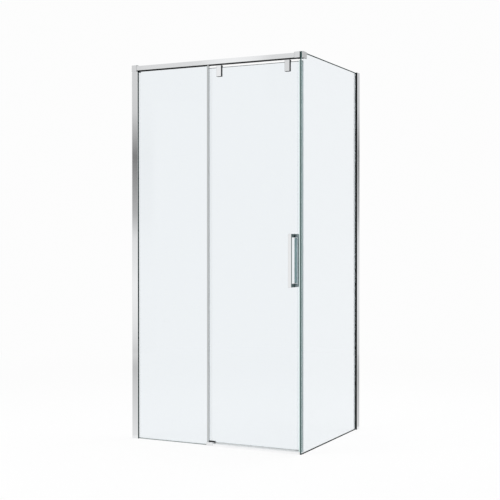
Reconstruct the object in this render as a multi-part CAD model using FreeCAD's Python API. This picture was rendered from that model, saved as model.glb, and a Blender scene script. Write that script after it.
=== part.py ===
import FreeCAD, Part
import os

# Corner shower enclosure: a fixed front pane, a top-hung sliding door and a return pane, in millimetres.
# +X runs to the right along the front, +Y runs back along the return pane and +Z is up.
# The origin lies on the floor, in the middle of the whole object's box.

# Overall size, from wall to wall posts
WIDTH = 1000.0
DEPTH = 800.0
HEIGHT = 2000.0
GLASS = 8.0
GLASS_ARRIS = 2.2

# Wall posts and the channels inside them
POST_PROUD = 9.5
POST_END = 37.0
POST_INNER_END = 28.0
POST_WALL = 1.8
POST_WALL_GAP = 2.0
POST_WEB_AT = 17.0
GLASS_ENTRY = 18.0
POST_EDGE_R = 0.9
CHANNEL_DEPTH = 15.0
CHANNEL_WALL = 1.6
CHANNEL_CLEARANCE = 0.4
WALL_HOLE_R = 3.0
WALL_HOLE_COUNT = 4
WALL_HOLE_END = 100.0
GASKET_LIP = 0.8
BEAD_RECESS = 0.4
LOCK_SCREW_COUNT = 2
LOCK_SCREW_END = 300.0
LOCK_SCREW_R = 2.5
PLUG_HEIGHT = 6.0

# Sill of the fixed panes, and the edge profile of the front one
SILL = 3.0
EDGE_WIDTH = 10.0
EDGE_WALL = 1.5
EDGE_WEB = 2.0
EDGE_TOP_GAP = 0.3
WIPER_FOOT = 1.0
WIPER_FOOT_WIDTH = 7.0
WIPER_FIN = 1.2
WIPER_GAP = 0.3

# Header rail
RAIL_HEIGHT = 25.0
RAIL_DROP = 5.0
RAIL_SETBACK = 0.5
RAIL_WALL = 2.0
RAIL_EDGE_R = 1.2
RAIL_GASKET = 1.0
GROOVE_DEPTH = 14.0
GLASS_IN_GROOVE = 12.0
TRACK_WIDTH = 20.0
TRACK_LIP = 2.5
TRACK_SLOT = 9.0
COVER_SKIN = 1.4
COVER_LEG = 1.2
COVER_LEG_HEIGHT = 5.0

# Blocks on the rail's ends and the cap outside the return pane
BLOCK_WIDTH = 31.0
BLOCK_DEPTH = 48.0
BLOCK_EDGE = 1.0
WALL_BLOCK_HEIGHT = 35.0
CORNER_BLOCK_HEIGHT = 30.0
WALL_SPIGOT = 12.0
CORNER_SPIGOT = 10.0
SPIGOT_CLEARANCE = 0.3
BLOCK_SCREW_R = 2.75
CORNER_PAD = 1.0
CORNER_PAD_INSET = 1.0
CORNER_PAD_RIM = 7.0
OUTER_GASKET = 3.0
OUTER_GASKET_INSET = 2.5
CAP_SETBACK = 0.5
CAP_HEIGHT = 33.0
CORNER_STUD_DEPTH = 14.0

# Stop and buffers in the rail
STOP_LENGTH = 24.0
STOP_CLEARANCE = 0.3
BUFFER_LENGTH = 8.0
BUFFER_WIDTH = 7.0
BUFFER_GAP = 0.5
STOP_SCREW_R = 2.5
STOP_SCREW_DEPTH = 8.0

# Sliding door: its travel and its place when opened set how wide the fixed pane is
TRAVEL = 400.0
DOOR_PARK = 50.0
PANEL_GAP = 9.0
DOOR_BOTTOM = 15.0
DOOR_TOP_GAP = 13.0
DOOR_OVERLAP = 14.3

# Hangers that carry the door under the rail
HANGER_INSET = 66.5
HANGER_WIDTH = 28.0
HANGER_LEG = 5.0
HANGER_DROP = 61.0
HANGER_RAIL_GAP = 3.0
HANGER_GLASS_GAP = 1.0
HANGER_EDGE = 0.8
CLAMP_PLATE = 4.5
HANGER_PAD = 1.0
HANGER_PAD_RIM = 7.0
CLAMP_BOLT_DEPTH = 3.8
CLAMP_HEAD_R = 6.5
CLAMP_HEAD_HEIGHT = 3.6
STUD_R = 2.5
STUD_IN_HANGER = 7.0
STUD_IN_CARRIAGE = 14.0

# Carriages and wheelsets in the rail
WHEEL_R = 9.5
WHEEL_WIDTH = 4.2
WHEEL_WALL_GAP = 0.7
WHEEL_LIFT = 0.1
AXLE_R = 2.0
AXLE_RUNNING_FIT = 0.08
WHEELBASE = 28.0
CARRIAGE_LENGTH = 48.0
CARRIAGE_WIDTH = 8.4
CARRIAGE_HEIGHT = 16.0
CARRIAGE_LIFT = 4.0
CARRIAGE_EDGE = 2.0

# Bolts and screws
CLAMP_BOLT_R = 4.0
BOLT_FIT = 0.05
BOLT_GLASS_GAP = 1.0

# Door handle
HANDLE_CENTRE = 963.0
HANDLE_INSET = 37.0
HANDLE_LENGTH = 268.0
HANDLE_WIDTH = 18.0
HANDLE_BAR = 12.0
HANDLE_POST = 19.0
HANDLE_REACH = 42.0
HANDLE_INNER_REACH = 55.0
HANDLE_INNER_BAR = 22.0
HANDLE_EDGE = 1.2
HANDLE_PAD = 1.0
HANDLE_PAD_RIM = 4.0
HANDLE_STUD_R = 3.0
HANDLE_STUD_DEPTH = 12.0

# Door seal and strike jamb
SEAL_LEG = 14.0
SEAL_WALL = 1.4
SEAL_NOSE = 6.0
SEAL_FIT = 0.1
MAGNET_WIDTH = 6.2
MAGNET_THICKNESS = 3.2
MAGNET_FIT = 0.1
JAMB_THICKNESS = 6.0
JAMB_FRONT = 4.0
JAMB_WALL = 1.2
JAMB_TAPE = 0.3
CLOSE_GAP = 1.0

# Threshold and guide
THRESHOLD_HEIGHT = 12.0
THRESHOLD_DEPTH = 42.0
THRESHOLD_WALL = 1.6
THRESHOLD_SLOPE = 3.0
GUIDE_LENGTH = 36.2
GUIDE_STEP_HEIGHT = 17.0
GUIDE_STEP_DEPTH = 19.0
GUIDE_NOTCH_FIT = 0.2
GUIDE_EDGE = 0.6
GUIDE_JOINT = 0.7
INSERT_HEIGHT = 7.5
INSERT_FLOOR = 2.0
INSERT_JAW = 5.6
INSERT_LEAD_IN = 1.5
INSERT_FIT = 0.5
INSERT_KEY_LENGTH = 20.0
INSERT_KEY_WIDTH = 8.0
INSERT_KEY_DEPTH = 6.0

# Planes of the frame: the handle stands in front of the front plane, so the box's middle is behind it
DOOR_FROM_FRONT = POST_PROUD + GLASS + PANEL_GAP
HANDLE_PROJECTION = HANDLE_REACH - DOOR_FROM_FRONT
LEFT = -WIDTH / 2
RIGHT = WIDTH / 2
FRONT = -(DEPTH - HANDLE_PROJECTION) / 2
BACK = FRONT + DEPTH

# Glass planes
FIXED_FRONT = FRONT + POST_PROUD
FIXED_BACK = FIXED_FRONT + GLASS
DOOR_FRONT = FRONT + DOOR_FROM_FRONT
DOOR_BACK = DOOR_FRONT + GLASS
DOOR_MID = DOOR_FRONT + GLASS / 2
RETURN_OUTER = RIGHT - POST_PROUD
RETURN_INNER = RETURN_OUTER - GLASS
POST_WIDTH = GLASS + 2 * POST_PROUD

# Levels and ends of the rail
RAIL_TOP = HEIGHT - RAIL_DROP
RAIL_BOTTOM = RAIL_TOP - RAIL_HEIGHT
RAIL_FRONT = FRONT + RAIL_SETBACK
TRACK_FRONT = DOOR_MID - TRACK_WIDTH / 2
TRACK_BACK = DOOR_MID + TRACK_WIDTH / 2
RAIL_BACK = TRACK_BACK + RAIL_WALL
RAIL_LEFT = LEFT + BLOCK_WIDTH
RAIL_RIGHT = RETURN_INNER - CORNER_PAD - BLOCK_WIDTH
TRACK_FLOOR = RAIL_BOTTOM + TRACK_LIP
TRACK_TOP = RAIL_TOP - RAIL_WALL
GROOVE_FRONT = FIXED_FRONT - RAIL_GASKET
GROOVE_BACK = FIXED_BACK + RAIL_GASKET
GROOVE_TOP = RAIL_BOTTOM + GROOVE_DEPTH
FRONT_POST_TOP = HEIGHT - WALL_BLOCK_HEIGHT

# Ends of the fixed pane and of the door
DOOR_LEFT = LEFT + DOOR_PARK + TRAVEL
EDGE_RIGHT = DOOR_LEFT + DOOR_OVERLAP
EDGE_LEFT = EDGE_RIGHT - EDGE_WIDTH
FIXED_RIGHT = EDGE_RIGHT - EDGE_WEB
DOOR_RIGHT = RETURN_INNER - JAMB_THICKNESS - CLOSE_GAP - SEAL_NOSE
DOOR_TOP = RAIL_BOTTOM - DOOR_TOP_GAP
GUIDE_RIGHT = EDGE_LEFT + GUIDE_LENGTH

# Hangers and wheels
HANGER_XS = {"left": DOOR_LEFT + HANGER_INSET, "right": DOOR_RIGHT - HANGER_INSET}
HANGER_TOP = RAIL_BOTTOM - HANGER_RAIL_GAP
HANGER_BOTTOM = RAIL_BOTTOM - HANGER_DROP
LEG_BACK = DOOR_FRONT - HANGER_PAD
LEG_FRONT = LEG_BACK - HANGER_LEG
CLAMP_FRONT = DOOR_BACK + HANGER_PAD
CLAMP_BACK = CLAMP_FRONT + CLAMP_PLATE
CLAMP_BOLT_Z = (DOOR_TOP + HANGER_BOTTOM) / 2
AXLE_Z = TRACK_FLOOR + WHEEL_LIFT + WHEEL_R
CARRIAGE_BOTTOM = RAIL_BOTTOM + CARRIAGE_LIFT

# Handle
HANDLE_X = DOOR_RIGHT - HANDLE_INSET
HANDLE_STUD_ZS = [HANDLE_CENTRE + sign * (HANDLE_LENGTH - HANDLE_POST) / 2 for sign in (-1, 1)]

# Stud of the corner block
CORNER_STUD_Y = FRONT + BLOCK_DEPTH / 2
CORNER_STUD_Z = HEIGHT - CORNER_BLOCK_HEIGHT / 2

X_AXIS = FreeCAD.Vector(1, 0, 0)
Y_AXIS = FreeCAD.Vector(0, 1, 0)
Z_AXIS = FreeCAD.Vector(0, 0, 1)


def box(x0, x1, y0, y1, z0, z1):
    """A box between two corners."""
    return Part.makeBox(x1 - x0, y1 - y0, z1 - z0, FreeCAD.Vector(x0, y0, z0))


def bevelled_box(x0, x1, y0, y1, z0, z1, bevel):
    """A box with every edge bevelled."""
    solid = box(x0, x1, y0, y1, z0, z1)
    return solid.makeChamfer(bevel, solid.Edges)


def rod(x, y, z, radius, length, axis):
    """A round bar from a point along an axis."""
    return Part.makeCylinder(radius, length, FreeCAD.Vector(x, y, z), axis)


def face_of(points):
    """A flat face from its corner points."""
    return Part.Face(Part.makePolygon(points + points[:1]))


def plan(x0, x1, y0, y1):
    """A rectangle in plan, at floor level."""
    corners = [(x0, y0), (x1, y0), (x1, y1), (x0, y1)]
    return face_of([FreeCAD.Vector(x, y, 0) for x, y in corners])


def side(y0, y1, z0, z1):
    """A rectangle seen from the side, in the plane x = 0."""
    corners = [(y0, z0), (y1, z0), (y1, z1), (y0, z1)]
    return face_of([FreeCAD.Vector(0, y, z) for y, z in corners])


def upright(section, z0, z1):
    """Extrude a plan section between two levels."""
    solid = section.extrude(FreeCAD.Vector(0, 0, z1 - z0))
    return solid.translated(FreeCAD.Vector(0, 0, z0))


def along_x(section, x0, x1):
    """Extrude a side section between two stations."""
    solid = section.extrude(FreeCAD.Vector(x1 - x0, 0, 0))
    return solid.translated(FreeCAD.Vector(x0, 0, 0))


def round_edges(solid, radius, wanted):
    """Round the edges of a solid that a test picks."""
    return solid.makeFillet(radius, [edge for edge in solid.Edges if wanted(edge)])


def bevel_edges(solid, bevel, wanted):
    """Bevel the edges of a solid that a test picks."""
    return solid.makeChamfer(bevel, [edge for edge in solid.Edges if wanted(edge)])


def at_wall(wall, d0, d1, a0, a1):
    """A plan rectangle of a wall post: d is measured off the wall, a from the post's outer face."""
    if wall == "front":
        return plan(LEFT + d0, LEFT + d1, FRONT + a0, FRONT + a1)
    return plan(RIGHT - a1, RIGHT - a0, BACK - d1, BACK - d0)


def wall_rod(wall, d, a, z, radius, length, direction):
    """A round bar in a wall post, off the wall ("d") or towards the post's outer face ("a")."""
    if wall == "front":
        axis = X_AXIS if direction == "d" else -Y_AXIS
        return rod(LEFT + d, FRONT + a, z, radius, length, axis)
    axis = -Y_AXIS if direction == "d" else X_AXIS
    return rod(RIGHT - a, BACK - d, z, radius, length, axis)


def arrised(pane):
    """A pane with its twelve edges ground off."""
    return pane.makeChamfer(GLASS_ARRIS, pane.Edges)


def ring_pad(outer, window, shift):
    """A pad cut from a flat face with a window in it, as thick as a shift."""
    return outer.cut(window).extrude(shift)


def spread(count, low, high):
    """Evenly spaced values from low to high."""
    return [low + (high - low) * i / (count - 1) for i in range(count)]


def post_top(wall):
    """Upper end of a wall post: the front one ends under the rail's wall block."""
    return FRONT_POST_TOP if wall == "front" else HEIGHT


def channel_top(wall):
    """Upper end of a wall channel, which stops under the post's plug."""
    return post_top(wall) - PLUG_HEIGHT - CHANNEL_CLEARANCE


def lock_screw_levels(wall):
    """Levels of the screws between a post and its channel."""
    return spread(LOCK_SCREW_COUNT, LOCK_SCREW_END, post_top(wall) - LOCK_SCREW_END)


def lock_screws(wall, fit):
    """Set screws through a post's inner wall, which press on its channel, with a fit added to the radius."""
    depth = CHANNEL_DEPTH / 2 + CHANNEL_WALL
    length = POST_WALL + CHANNEL_CLEARANCE
    levels = lock_screw_levels(wall)
    return [wall_rod(wall, depth, POST_WIDTH, z, LOCK_SCREW_R + fit, length, "a") for z in levels]


def wall_channel(wall):
    """U channel that is screwed to the wall inside a post."""
    outside = POST_WALL + CHANNEL_CLEARANCE
    inside = outside + CHANNEL_WALL
    outer = at_wall(wall, 0, CHANNEL_DEPTH, outside, POST_WIDTH - outside)
    hollow = at_wall(wall, CHANNEL_WALL, CHANNEL_DEPTH, inside, POST_WIDTH - inside)
    top = channel_top(wall)
    solid = upright(outer.cut(hollow), 0, top)
    levels = spread(WALL_HOLE_COUNT, WALL_HOLE_END, HEIGHT - WALL_HOLE_END)
    holes = [wall_rod(wall, 0, POST_WIDTH / 2, z, WALL_HOLE_R, CHANNEL_WALL, "d") for z in levels]
    return solid.cut(holes)


def glass_post(wall):
    """Extruded post: a rear pocket over the wall channel and a glass pocket with a shorter inner lip."""
    outer = at_wall(wall, POST_WALL_GAP, POST_END, 0, POST_WIDTH)
    inner = POST_WIDTH - POST_WALL
    rear = at_wall(wall, POST_WALL_GAP, POST_WEB_AT, POST_WALL, inner)
    pocket = at_wall(wall, POST_WEB_AT + POST_WALL, POST_END, POST_WALL, inner)
    cut_back = at_wall(wall, POST_INNER_END, POST_END, inner, POST_WIDTH)
    top = post_top(wall)
    solid = upright(outer.cut([rear, pocket, cut_back]), 0, top)

    def outer_corner(edge):
        """True for the post's four long outer edges."""
        middle = edge.CenterOfMass
        across = middle.y - FRONT if wall == "front" else RIGHT - middle.x
        return min(abs(across), abs(across - POST_WIDTH)) < POST_WALL / 2 and edge.Length > top / 2

    solid = round_edges(solid, POST_EDGE_R, outer_corner)
    return solid.cut(lock_screws(wall, BOLT_FIT))


def post_gasket(wall):
    """Black glazing strip outside the pane, with a lip over the end of the post's outer wall."""
    strip = at_wall(wall, POST_WEB_AT + POST_WALL, POST_END, POST_WALL, POST_PROUD)
    lip = at_wall(wall, POST_END, POST_END + GASKET_LIP, POST_EDGE_R, POST_PROUD)
    return upright(strip.fuse(lip).removeSplitter(), 0, post_top(wall))


def post_bead(wall):
    """Clear glazing bead inside the pane, set back from the post's inner lip."""
    end = POST_INNER_END - BEAD_RECESS
    section = at_wall(wall, POST_WEB_AT + POST_WALL, end, POST_PROUD + GLASS, POST_WIDTH - POST_WALL)
    return upright(section, 0, post_top(wall))


def return_post_plug():
    """Plug that closes the rear pocket of the return post."""
    low = POST_WALL + CHANNEL_CLEARANCE
    section = at_wall("return", POST_WALL_GAP, POST_WEB_AT, low, POST_WIDTH - low)
    return upright(section, HEIGHT - PLUG_HEIGHT, HEIGHT)


def front_glass():
    """Fixed front pane, from the wall post to its free edge and up into the rail."""
    left = LEFT + POST_END - GLASS_ENTRY
    return arrised(box(left, FIXED_RIGHT, FIXED_FRONT, FIXED_BACK, SILL, RAIL_BOTTOM + GLASS_IN_GROOVE))


def return_glass():
    """Return pane, drilled for the bolt of the corner block."""
    pane = arrised(box(RETURN_INNER, RETURN_OUTER, FRONT, BACK - POST_END + GLASS_ENTRY, SILL, HEIGHT))
    return pane.cut(corner_bore(CLAMP_BOLT_R + BOLT_GLASS_GAP, RETURN_INNER, RETURN_OUTER))


def sill_seals():
    """Sealing strips under the two fixed panes."""
    end = POST_END + GASKET_LIP
    front = box(LEFT + end, EDGE_LEFT, FIXED_FRONT, FIXED_BACK, 0, SILL)
    back = box(RETURN_INNER, RETURN_OUTER, FRONT, BACK - end, 0, SILL)
    return front, back


def edge_profile():
    """U profile on the free edge of the fixed pane."""
    outer = plan(EDGE_LEFT, EDGE_RIGHT, FIXED_FRONT - EDGE_WALL, FIXED_BACK + EDGE_WALL)
    slot = plan(EDGE_LEFT, FIXED_RIGHT, FIXED_FRONT, FIXED_BACK)
    return upright(outer.cut(slot), GUIDE_STEP_HEIGHT, RAIL_BOTTOM - EDGE_TOP_GAP)


def edge_wiper():
    """Clear wiper strip on the back of the edge profile, with its fin close to the door."""
    back = FIXED_BACK + EDGE_WALL
    foot_left = EDGE_LEFT + (EDGE_WIDTH - WIPER_FOOT_WIDTH) / 2
    foot = plan(foot_left, foot_left + WIPER_FOOT_WIDTH, back, back + WIPER_FOOT)
    fin = plan(foot_left, foot_left + WIPER_FIN, back, DOOR_FRONT - WIPER_GAP)
    low = THRESHOLD_HEIGHT + INSERT_HEIGHT + WIPER_FOOT
    high = HANGER_BOTTOM - HANGER_PAD - WIPER_FOOT
    return upright(foot, low, high).fuse(upright(fin, low, high)).removeSplitter()


def header_rail():
    """Rail extrusion: a front chamber, a glazing groove and a slotted track for the carriages."""
    outer = side(RAIL_FRONT, RAIL_BACK, RAIL_BOTTOM, RAIL_TOP)
    groove = side(GROOVE_FRONT, GROOVE_BACK, RAIL_BOTTOM, GROOVE_TOP)
    track = side(TRACK_FRONT, TRACK_BACK, TRACK_FLOOR, TRACK_TOP)
    slot = side(DOOR_MID - TRACK_SLOT / 2, DOOR_MID + TRACK_SLOT / 2, RAIL_BOTTOM, TRACK_FLOOR)
    chamber_front = RAIL_FRONT + RAIL_WALL
    tall = side(chamber_front, GROOVE_FRONT - RAIL_WALL, RAIL_BOTTOM + RAIL_WALL, TRACK_TOP)
    wide = side(chamber_front, TRACK_FRONT - RAIL_WALL, GROOVE_TOP + RAIL_WALL, TRACK_TOP)
    solid = along_x(outer.cut([groove, track, slot, tall, wide]), RAIL_LEFT, RAIL_RIGHT)

    def long_corner(edge):
        """True for the rail's four long outer edges."""
        middle = edge.CenterOfMass
        at_side = min(abs(middle.y - RAIL_FRONT), abs(middle.y - RAIL_BACK)) < RAIL_WALL / 2
        at_level = min(abs(middle.z - RAIL_TOP), abs(middle.z - RAIL_BOTTOM)) < RAIL_WALL / 2
        return at_side and at_level and edge.Length > (RAIL_RIGHT - RAIL_LEFT) / 2

    solid = round_edges(solid, RAIL_EDGE_R, long_corner)
    return solid.cut(stop_screw(BOLT_FIT))


def stop_left():
    """Left end of the rail's stop, so that the door stops at its travel."""
    carriage_left = HANGER_XS["left"] - CARRIAGE_LENGTH / 2 - TRAVEL
    return carriage_left - BUFFER_GAP - BUFFER_LENGTH - STOP_LENGTH


def stop_screw(fit):
    """Set screw through the rail's roof into the stop, with a fit added to its radius."""
    low = TRACK_TOP - STOP_SCREW_DEPTH
    return rod(stop_left() + STOP_LENGTH / 2, DOOR_MID, low, STOP_SCREW_R + fit, RAIL_TOP - low, Z_AXIS)


def in_track(x0, x1, clearance):
    """A block that fills the track's section with a clearance all round."""
    return box(x0, x1, TRACK_FRONT + clearance, TRACK_BACK - clearance, TRACK_FLOOR, TRACK_TOP - clearance)


def rail_gasket():
    """Black U gasket on the fixed pane's top edge, whose lips hang out of the groove."""
    glass_top = RAIL_BOTTOM + GLASS_IN_GROOVE
    lengths = []
    for x0, x1, low in ((RAIL_LEFT, EDGE_LEFT, FRONT_POST_TOP), (EDGE_LEFT, EDGE_RIGHT, RAIL_BOTTOM)):
        outer = side(GROOVE_FRONT, GROOVE_BACK, low, glass_top + RAIL_GASKET)
        slot = side(FIXED_FRONT, FIXED_BACK, low, glass_top)
        lengths.append(along_x(outer.cut(slot), x0, x1))
    return lengths[0].fuse(lengths[1]).removeSplitter()


def groove_cover():
    """Snap-in strip that closes the rail's groove over the doorway."""
    roof = RAIL_BOTTOM + COVER_SKIN
    skin = side(GROOVE_FRONT, GROOVE_BACK, RAIL_BOTTOM, roof)
    legs = [
        side(GROOVE_FRONT, GROOVE_FRONT + COVER_LEG, roof, roof + COVER_LEG_HEIGHT),
        side(GROOVE_BACK - COVER_LEG, GROOVE_BACK, roof, roof + COVER_LEG_HEIGHT),
    ]
    strips = [along_x(section, EDGE_RIGHT, RAIL_RIGHT) for section in [skin] + legs]
    return strips[0].fuse(strips[1:]).removeSplitter()


def wall_block():
    """Block between the wall and the rail: it takes the pane's corner and plugs into the track."""
    body = bevelled_box(LEFT, RAIL_LEFT, FRONT, FRONT + BLOCK_DEPTH, FRONT_POST_TOP, HEIGHT, BLOCK_EDGE)
    spigot = in_track(RAIL_LEFT - BLOCK_EDGE, RAIL_LEFT + WALL_SPIGOT, SPIGOT_CLEARANCE)
    fit = SPIGOT_CLEARANCE
    pane = box(LEFT + POST_END - GLASS_ENTRY - fit, RAIL_LEFT, FIXED_FRONT - fit, FIXED_BACK + fit,
               FRONT_POST_TOP, RAIL_BOTTOM + GLASS_IN_GROOVE + fit)
    screw = rod(LEFT, DOOR_MID, AXLE_Z, BLOCK_SCREW_R, BLOCK_WIDTH + WALL_SPIGOT, X_AXIS)
    return body.fuse(spigot).removeSplitter().cut([pane, screw])


def corner_block():
    """Block between the rail and the return pane, with a tapped hole for the clamp stud."""
    right = RETURN_INNER - CORNER_PAD
    low = HEIGHT - CORNER_BLOCK_HEIGHT
    body = bevelled_box(RAIL_RIGHT, right, FRONT, FRONT + BLOCK_DEPTH, low, HEIGHT, BLOCK_EDGE)
    spigot = in_track(RAIL_RIGHT - CORNER_SPIGOT, RAIL_RIGHT + BLOCK_EDGE, SPIGOT_CLEARANCE)
    bore = corner_bore(CLAMP_BOLT_R + BOLT_FIT, right - CORNER_STUD_DEPTH - BOLT_FIT, right)
    return body.fuse(spigot).removeSplitter().cut(bore)


def corner_bore(radius, x0, x1):
    """Round bar on the corner stud's axis between two stations."""
    return rod(x0, CORNER_STUD_Y, CORNER_STUD_Z, radius, x1 - x0, X_AXIS)


def corner_gasket(low, inset, x0, thickness):
    """Gasket with a window for the stud, set in from the outline of the block or cap that it backs."""
    outline = (FRONT + inset, FRONT + BLOCK_DEPTH - inset, low + inset, HEIGHT - inset)
    rim = CORNER_PAD_RIM
    window = side(outline[0] + rim, outline[1] - rim, outline[2] + rim, outline[3] - rim)
    pad = ring_pad(side(*outline), window, X_AXIS * thickness)
    return pad.translated(X_AXIS * x0)


def corner_cap():
    """Outer plate with the stud that draws it and the corner block against the return pane."""
    left = RETURN_OUTER + OUTER_GASKET
    plate = bevelled_box(left, RIGHT - CAP_SETBACK, FRONT, FRONT + BLOCK_DEPTH, HEIGHT - CAP_HEIGHT, HEIGHT,
                         BLOCK_EDGE)
    stud = corner_bore(CLAMP_BOLT_R, RETURN_INNER - CORNER_PAD - CORNER_STUD_DEPTH, left)
    return plate.fuse(stud).removeSplitter()


def rail_stop():
    """Stop in the track that ends the door's opening travel."""
    left = stop_left()
    return in_track(left, left + STOP_LENGTH, STOP_CLEARANCE).cut(stop_screw(BOLT_FIT))


def rail_buffers():
    """Rubber buffers on the stop and on the corner block's spigot."""
    half = BUFFER_WIDTH / 2
    section = side(DOOR_MID - half, DOOR_MID + half, AXLE_Z - half, AXLE_Z + half)
    stop = stop_left() + STOP_LENGTH
    start = HANGER_XS["right"] + CARRIAGE_LENGTH / 2 + BUFFER_GAP
    spans = [(stop, stop + BUFFER_LENGTH), (start, RAIL_RIGHT - CORNER_SPIGOT)]
    return Part.makeCompound([along_x(section, x0, x1) for x0, x1 in spans])


def threshold_bar():
    """Threshold extrusion under the door, with a sloped nose and three legs."""
    back = FRONT + THRESHOLD_DEPTH
    shoulder = THRESHOLD_HEIGHT - THRESHOLD_SLOPE
    outline = [(FRONT, 0), (back, 0), (back, THRESHOLD_HEIGHT), (FRONT + THRESHOLD_SLOPE, THRESHOLD_HEIGHT),
               (FRONT, shoulder)]
    outer = face_of([FreeCAD.Vector(0, y, z) for y, z in outline])
    middle = FRONT + THRESHOLD_DEPTH / 2
    half = THRESHOLD_WALL / 2
    roof = THRESHOLD_HEIGHT - THRESHOLD_WALL
    front_hollow = side(FRONT + THRESHOLD_SLOPE, middle - half, 0, roof)
    back_hollow = side(middle + half, back - THRESHOLD_WALL, 0, roof)
    return along_x(outer.cut([front_hollow, back_hollow]), GUIDE_RIGHT + GUIDE_JOINT, RETURN_INNER)


def insert_key(fit):
    """Tongue under the insert that plugs into the base, with a fit all round."""
    middle = (EDGE_LEFT + GUIDE_RIGHT) / 2
    length = INSERT_KEY_LENGTH / 2 + fit
    half = INSERT_KEY_WIDTH / 2 + fit
    low = THRESHOLD_HEIGHT - INSERT_KEY_DEPTH - fit
    return box(middle - length, middle + length, DOOR_MID - half, DOOR_MID + half, low, THRESHOLD_HEIGHT)


def guide_base():
    """Floor block at the foot of the edge profile: a front step and a lower seat for the insert."""
    back = FRONT + THRESHOLD_DEPTH
    step = FRONT + GUIDE_STEP_DEPTH
    outline = [(FRONT, 0), (back, 0), (back, THRESHOLD_HEIGHT), (step, THRESHOLD_HEIGHT),
               (step, GUIDE_STEP_HEIGHT), (FRONT, GUIDE_STEP_HEIGHT)]
    solid = along_x(face_of([FreeCAD.Vector(0, y, z) for y, z in outline]), EDGE_LEFT, GUIDE_RIGHT)

    def front_top(edge):
        """True for the step's front upper edge."""
        middle = edge.CenterOfMass
        return abs(middle.y - FRONT) < GUIDE_EDGE and abs(middle.z - GUIDE_STEP_HEIGHT) < GUIDE_EDGE

    solid = bevel_edges(solid, GUIDE_EDGE, front_top)
    notch = box(EDGE_LEFT, FIXED_RIGHT + GUIDE_NOTCH_FIT, FIXED_FRONT - GUIDE_NOTCH_FIT,
                FIXED_BACK + GUIDE_NOTCH_FIT, 0, GUIDE_STEP_HEIGHT)
    return solid.cut([notch, insert_key(BOLT_FIT)])


def guide_insert():
    """Black insert, keyed in its base, whose two flared jaws keep the door's foot in line."""
    low = THRESHOLD_HEIGHT
    floor = low + INSERT_FLOOR
    top = low + INSERT_HEIGHT
    gap = GLASS / 2 + INSERT_FIT
    outside = gap + INSERT_JAW
    lead = INSERT_LEAD_IN
    half = [(outside, low), (outside, top), (gap + lead, top), (gap, top - lead), (gap, floor)]
    outline = [(DOOR_MID + y, z) for y, z in half] + [(DOOR_MID - y, z) for y, z in reversed(half)]
    solid = along_x(face_of([FreeCAD.Vector(0, y, z) for y, z in outline]), EDGE_LEFT, GUIDE_RIGHT)
    return solid.fuse(insert_key(0)).removeSplitter()


def magnet_plan(x0, fit):
    """Plan of a magnet strip in line with the door, with a fit all round."""
    half = MAGNET_WIDTH / 2 + fit
    return plan(x0 - fit, x0 + MAGNET_THICKNESS + fit, DOOR_MID - half, DOOR_MID + half)


def strike_magnet_left():
    """Left face of the jamb's magnet."""
    return RETURN_INNER - JAMB_THICKNESS + JAMB_WALL


def strike_jamb():
    """Jamb extrusion taped to the return pane, with a hollow front and a magnet pocket."""
    left = RETURN_INNER - JAMB_THICKNESS
    right = RETURN_INNER - JAMB_TAPE
    pocket_front = DOOR_MID - MAGNET_WIDTH / 2 - MAGNET_FIT
    pocket_back = DOOR_MID + MAGNET_WIDTH / 2 + MAGNET_FIT
    front = FRONT + JAMB_FRONT
    back = pocket_back + JAMB_WALL
    outer = plan(left, right, front, back)
    hollow = plan(left + JAMB_WALL, right - JAMB_WALL, front + JAMB_WALL, pocket_front - JAMB_WALL)
    pocket = magnet_plan(strike_magnet_left(), MAGNET_FIT)
    return upright(outer.cut([hollow, pocket]), THRESHOLD_HEIGHT, DOOR_TOP)


def strike_magnet():
    """Magnet strip in the jamb."""
    return upright(magnet_plan(strike_magnet_left(), 0), THRESHOLD_HEIGHT, DOOR_TOP)


def door_glass():
    """Sliding pane, drilled for the hangers and for the handle."""
    pane = arrised(box(DOOR_LEFT, DOOR_RIGHT, DOOR_FRONT, DOOR_BACK, DOOR_BOTTOM, DOOR_TOP))
    spots = [(x, CLAMP_BOLT_Z, CLAMP_BOLT_R) for x in HANGER_XS.values()]
    spots += [(HANDLE_X, z, HANDLE_STUD_R) for z in HANDLE_STUD_ZS]
    holes = [rod(x, DOOR_FRONT, z, radius + BOLT_GLASS_GAP, GLASS, Y_AXIS) for x, z, radius in spots]
    return pane.cut(holes)


def hanger_span(name):
    """Left and right faces of a hanger."""
    return HANGER_XS[name] - HANGER_WIDTH / 2, HANGER_XS[name] + HANGER_WIDTH / 2


def hanger(name):
    """L-shaped hanger: a bridge over the door's top edge and a plain leg in front of it."""
    x0, x1 = hanger_span(name)
    low = DOOR_TOP + HANGER_GLASS_GAP
    outline = [(LEG_FRONT, HANGER_BOTTOM), (LEG_BACK, HANGER_BOTTOM), (LEG_BACK, low), (CLAMP_BACK, low),
               (CLAMP_BACK, HANGER_TOP), (LEG_FRONT, HANGER_TOP)]
    solid = along_x(face_of([FreeCAD.Vector(0, y, z) for y, z in outline]), x0, x1)

    def outside(edge):
        """True for the edges on the leg's front face and along the bridge's top."""
        middle = edge.CenterOfMass
        return abs(middle.y - LEG_FRONT) < HANGER_EDGE or abs(middle.z - HANGER_TOP) < HANGER_EDGE

    solid = bevel_edges(solid, HANGER_EDGE, outside)
    x = HANGER_XS[name]
    bore = rod(x, LEG_BACK, CLAMP_BOLT_Z, CLAMP_BOLT_R + BOLT_FIT, CLAMP_BOLT_DEPTH + BOLT_FIT, -Y_AXIS)
    stud = rod(x, DOOR_MID, HANGER_TOP, STUD_R + BOLT_FIT, STUD_IN_HANGER, -Z_AXIS)
    return solid.cut([bore, stud])


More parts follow.
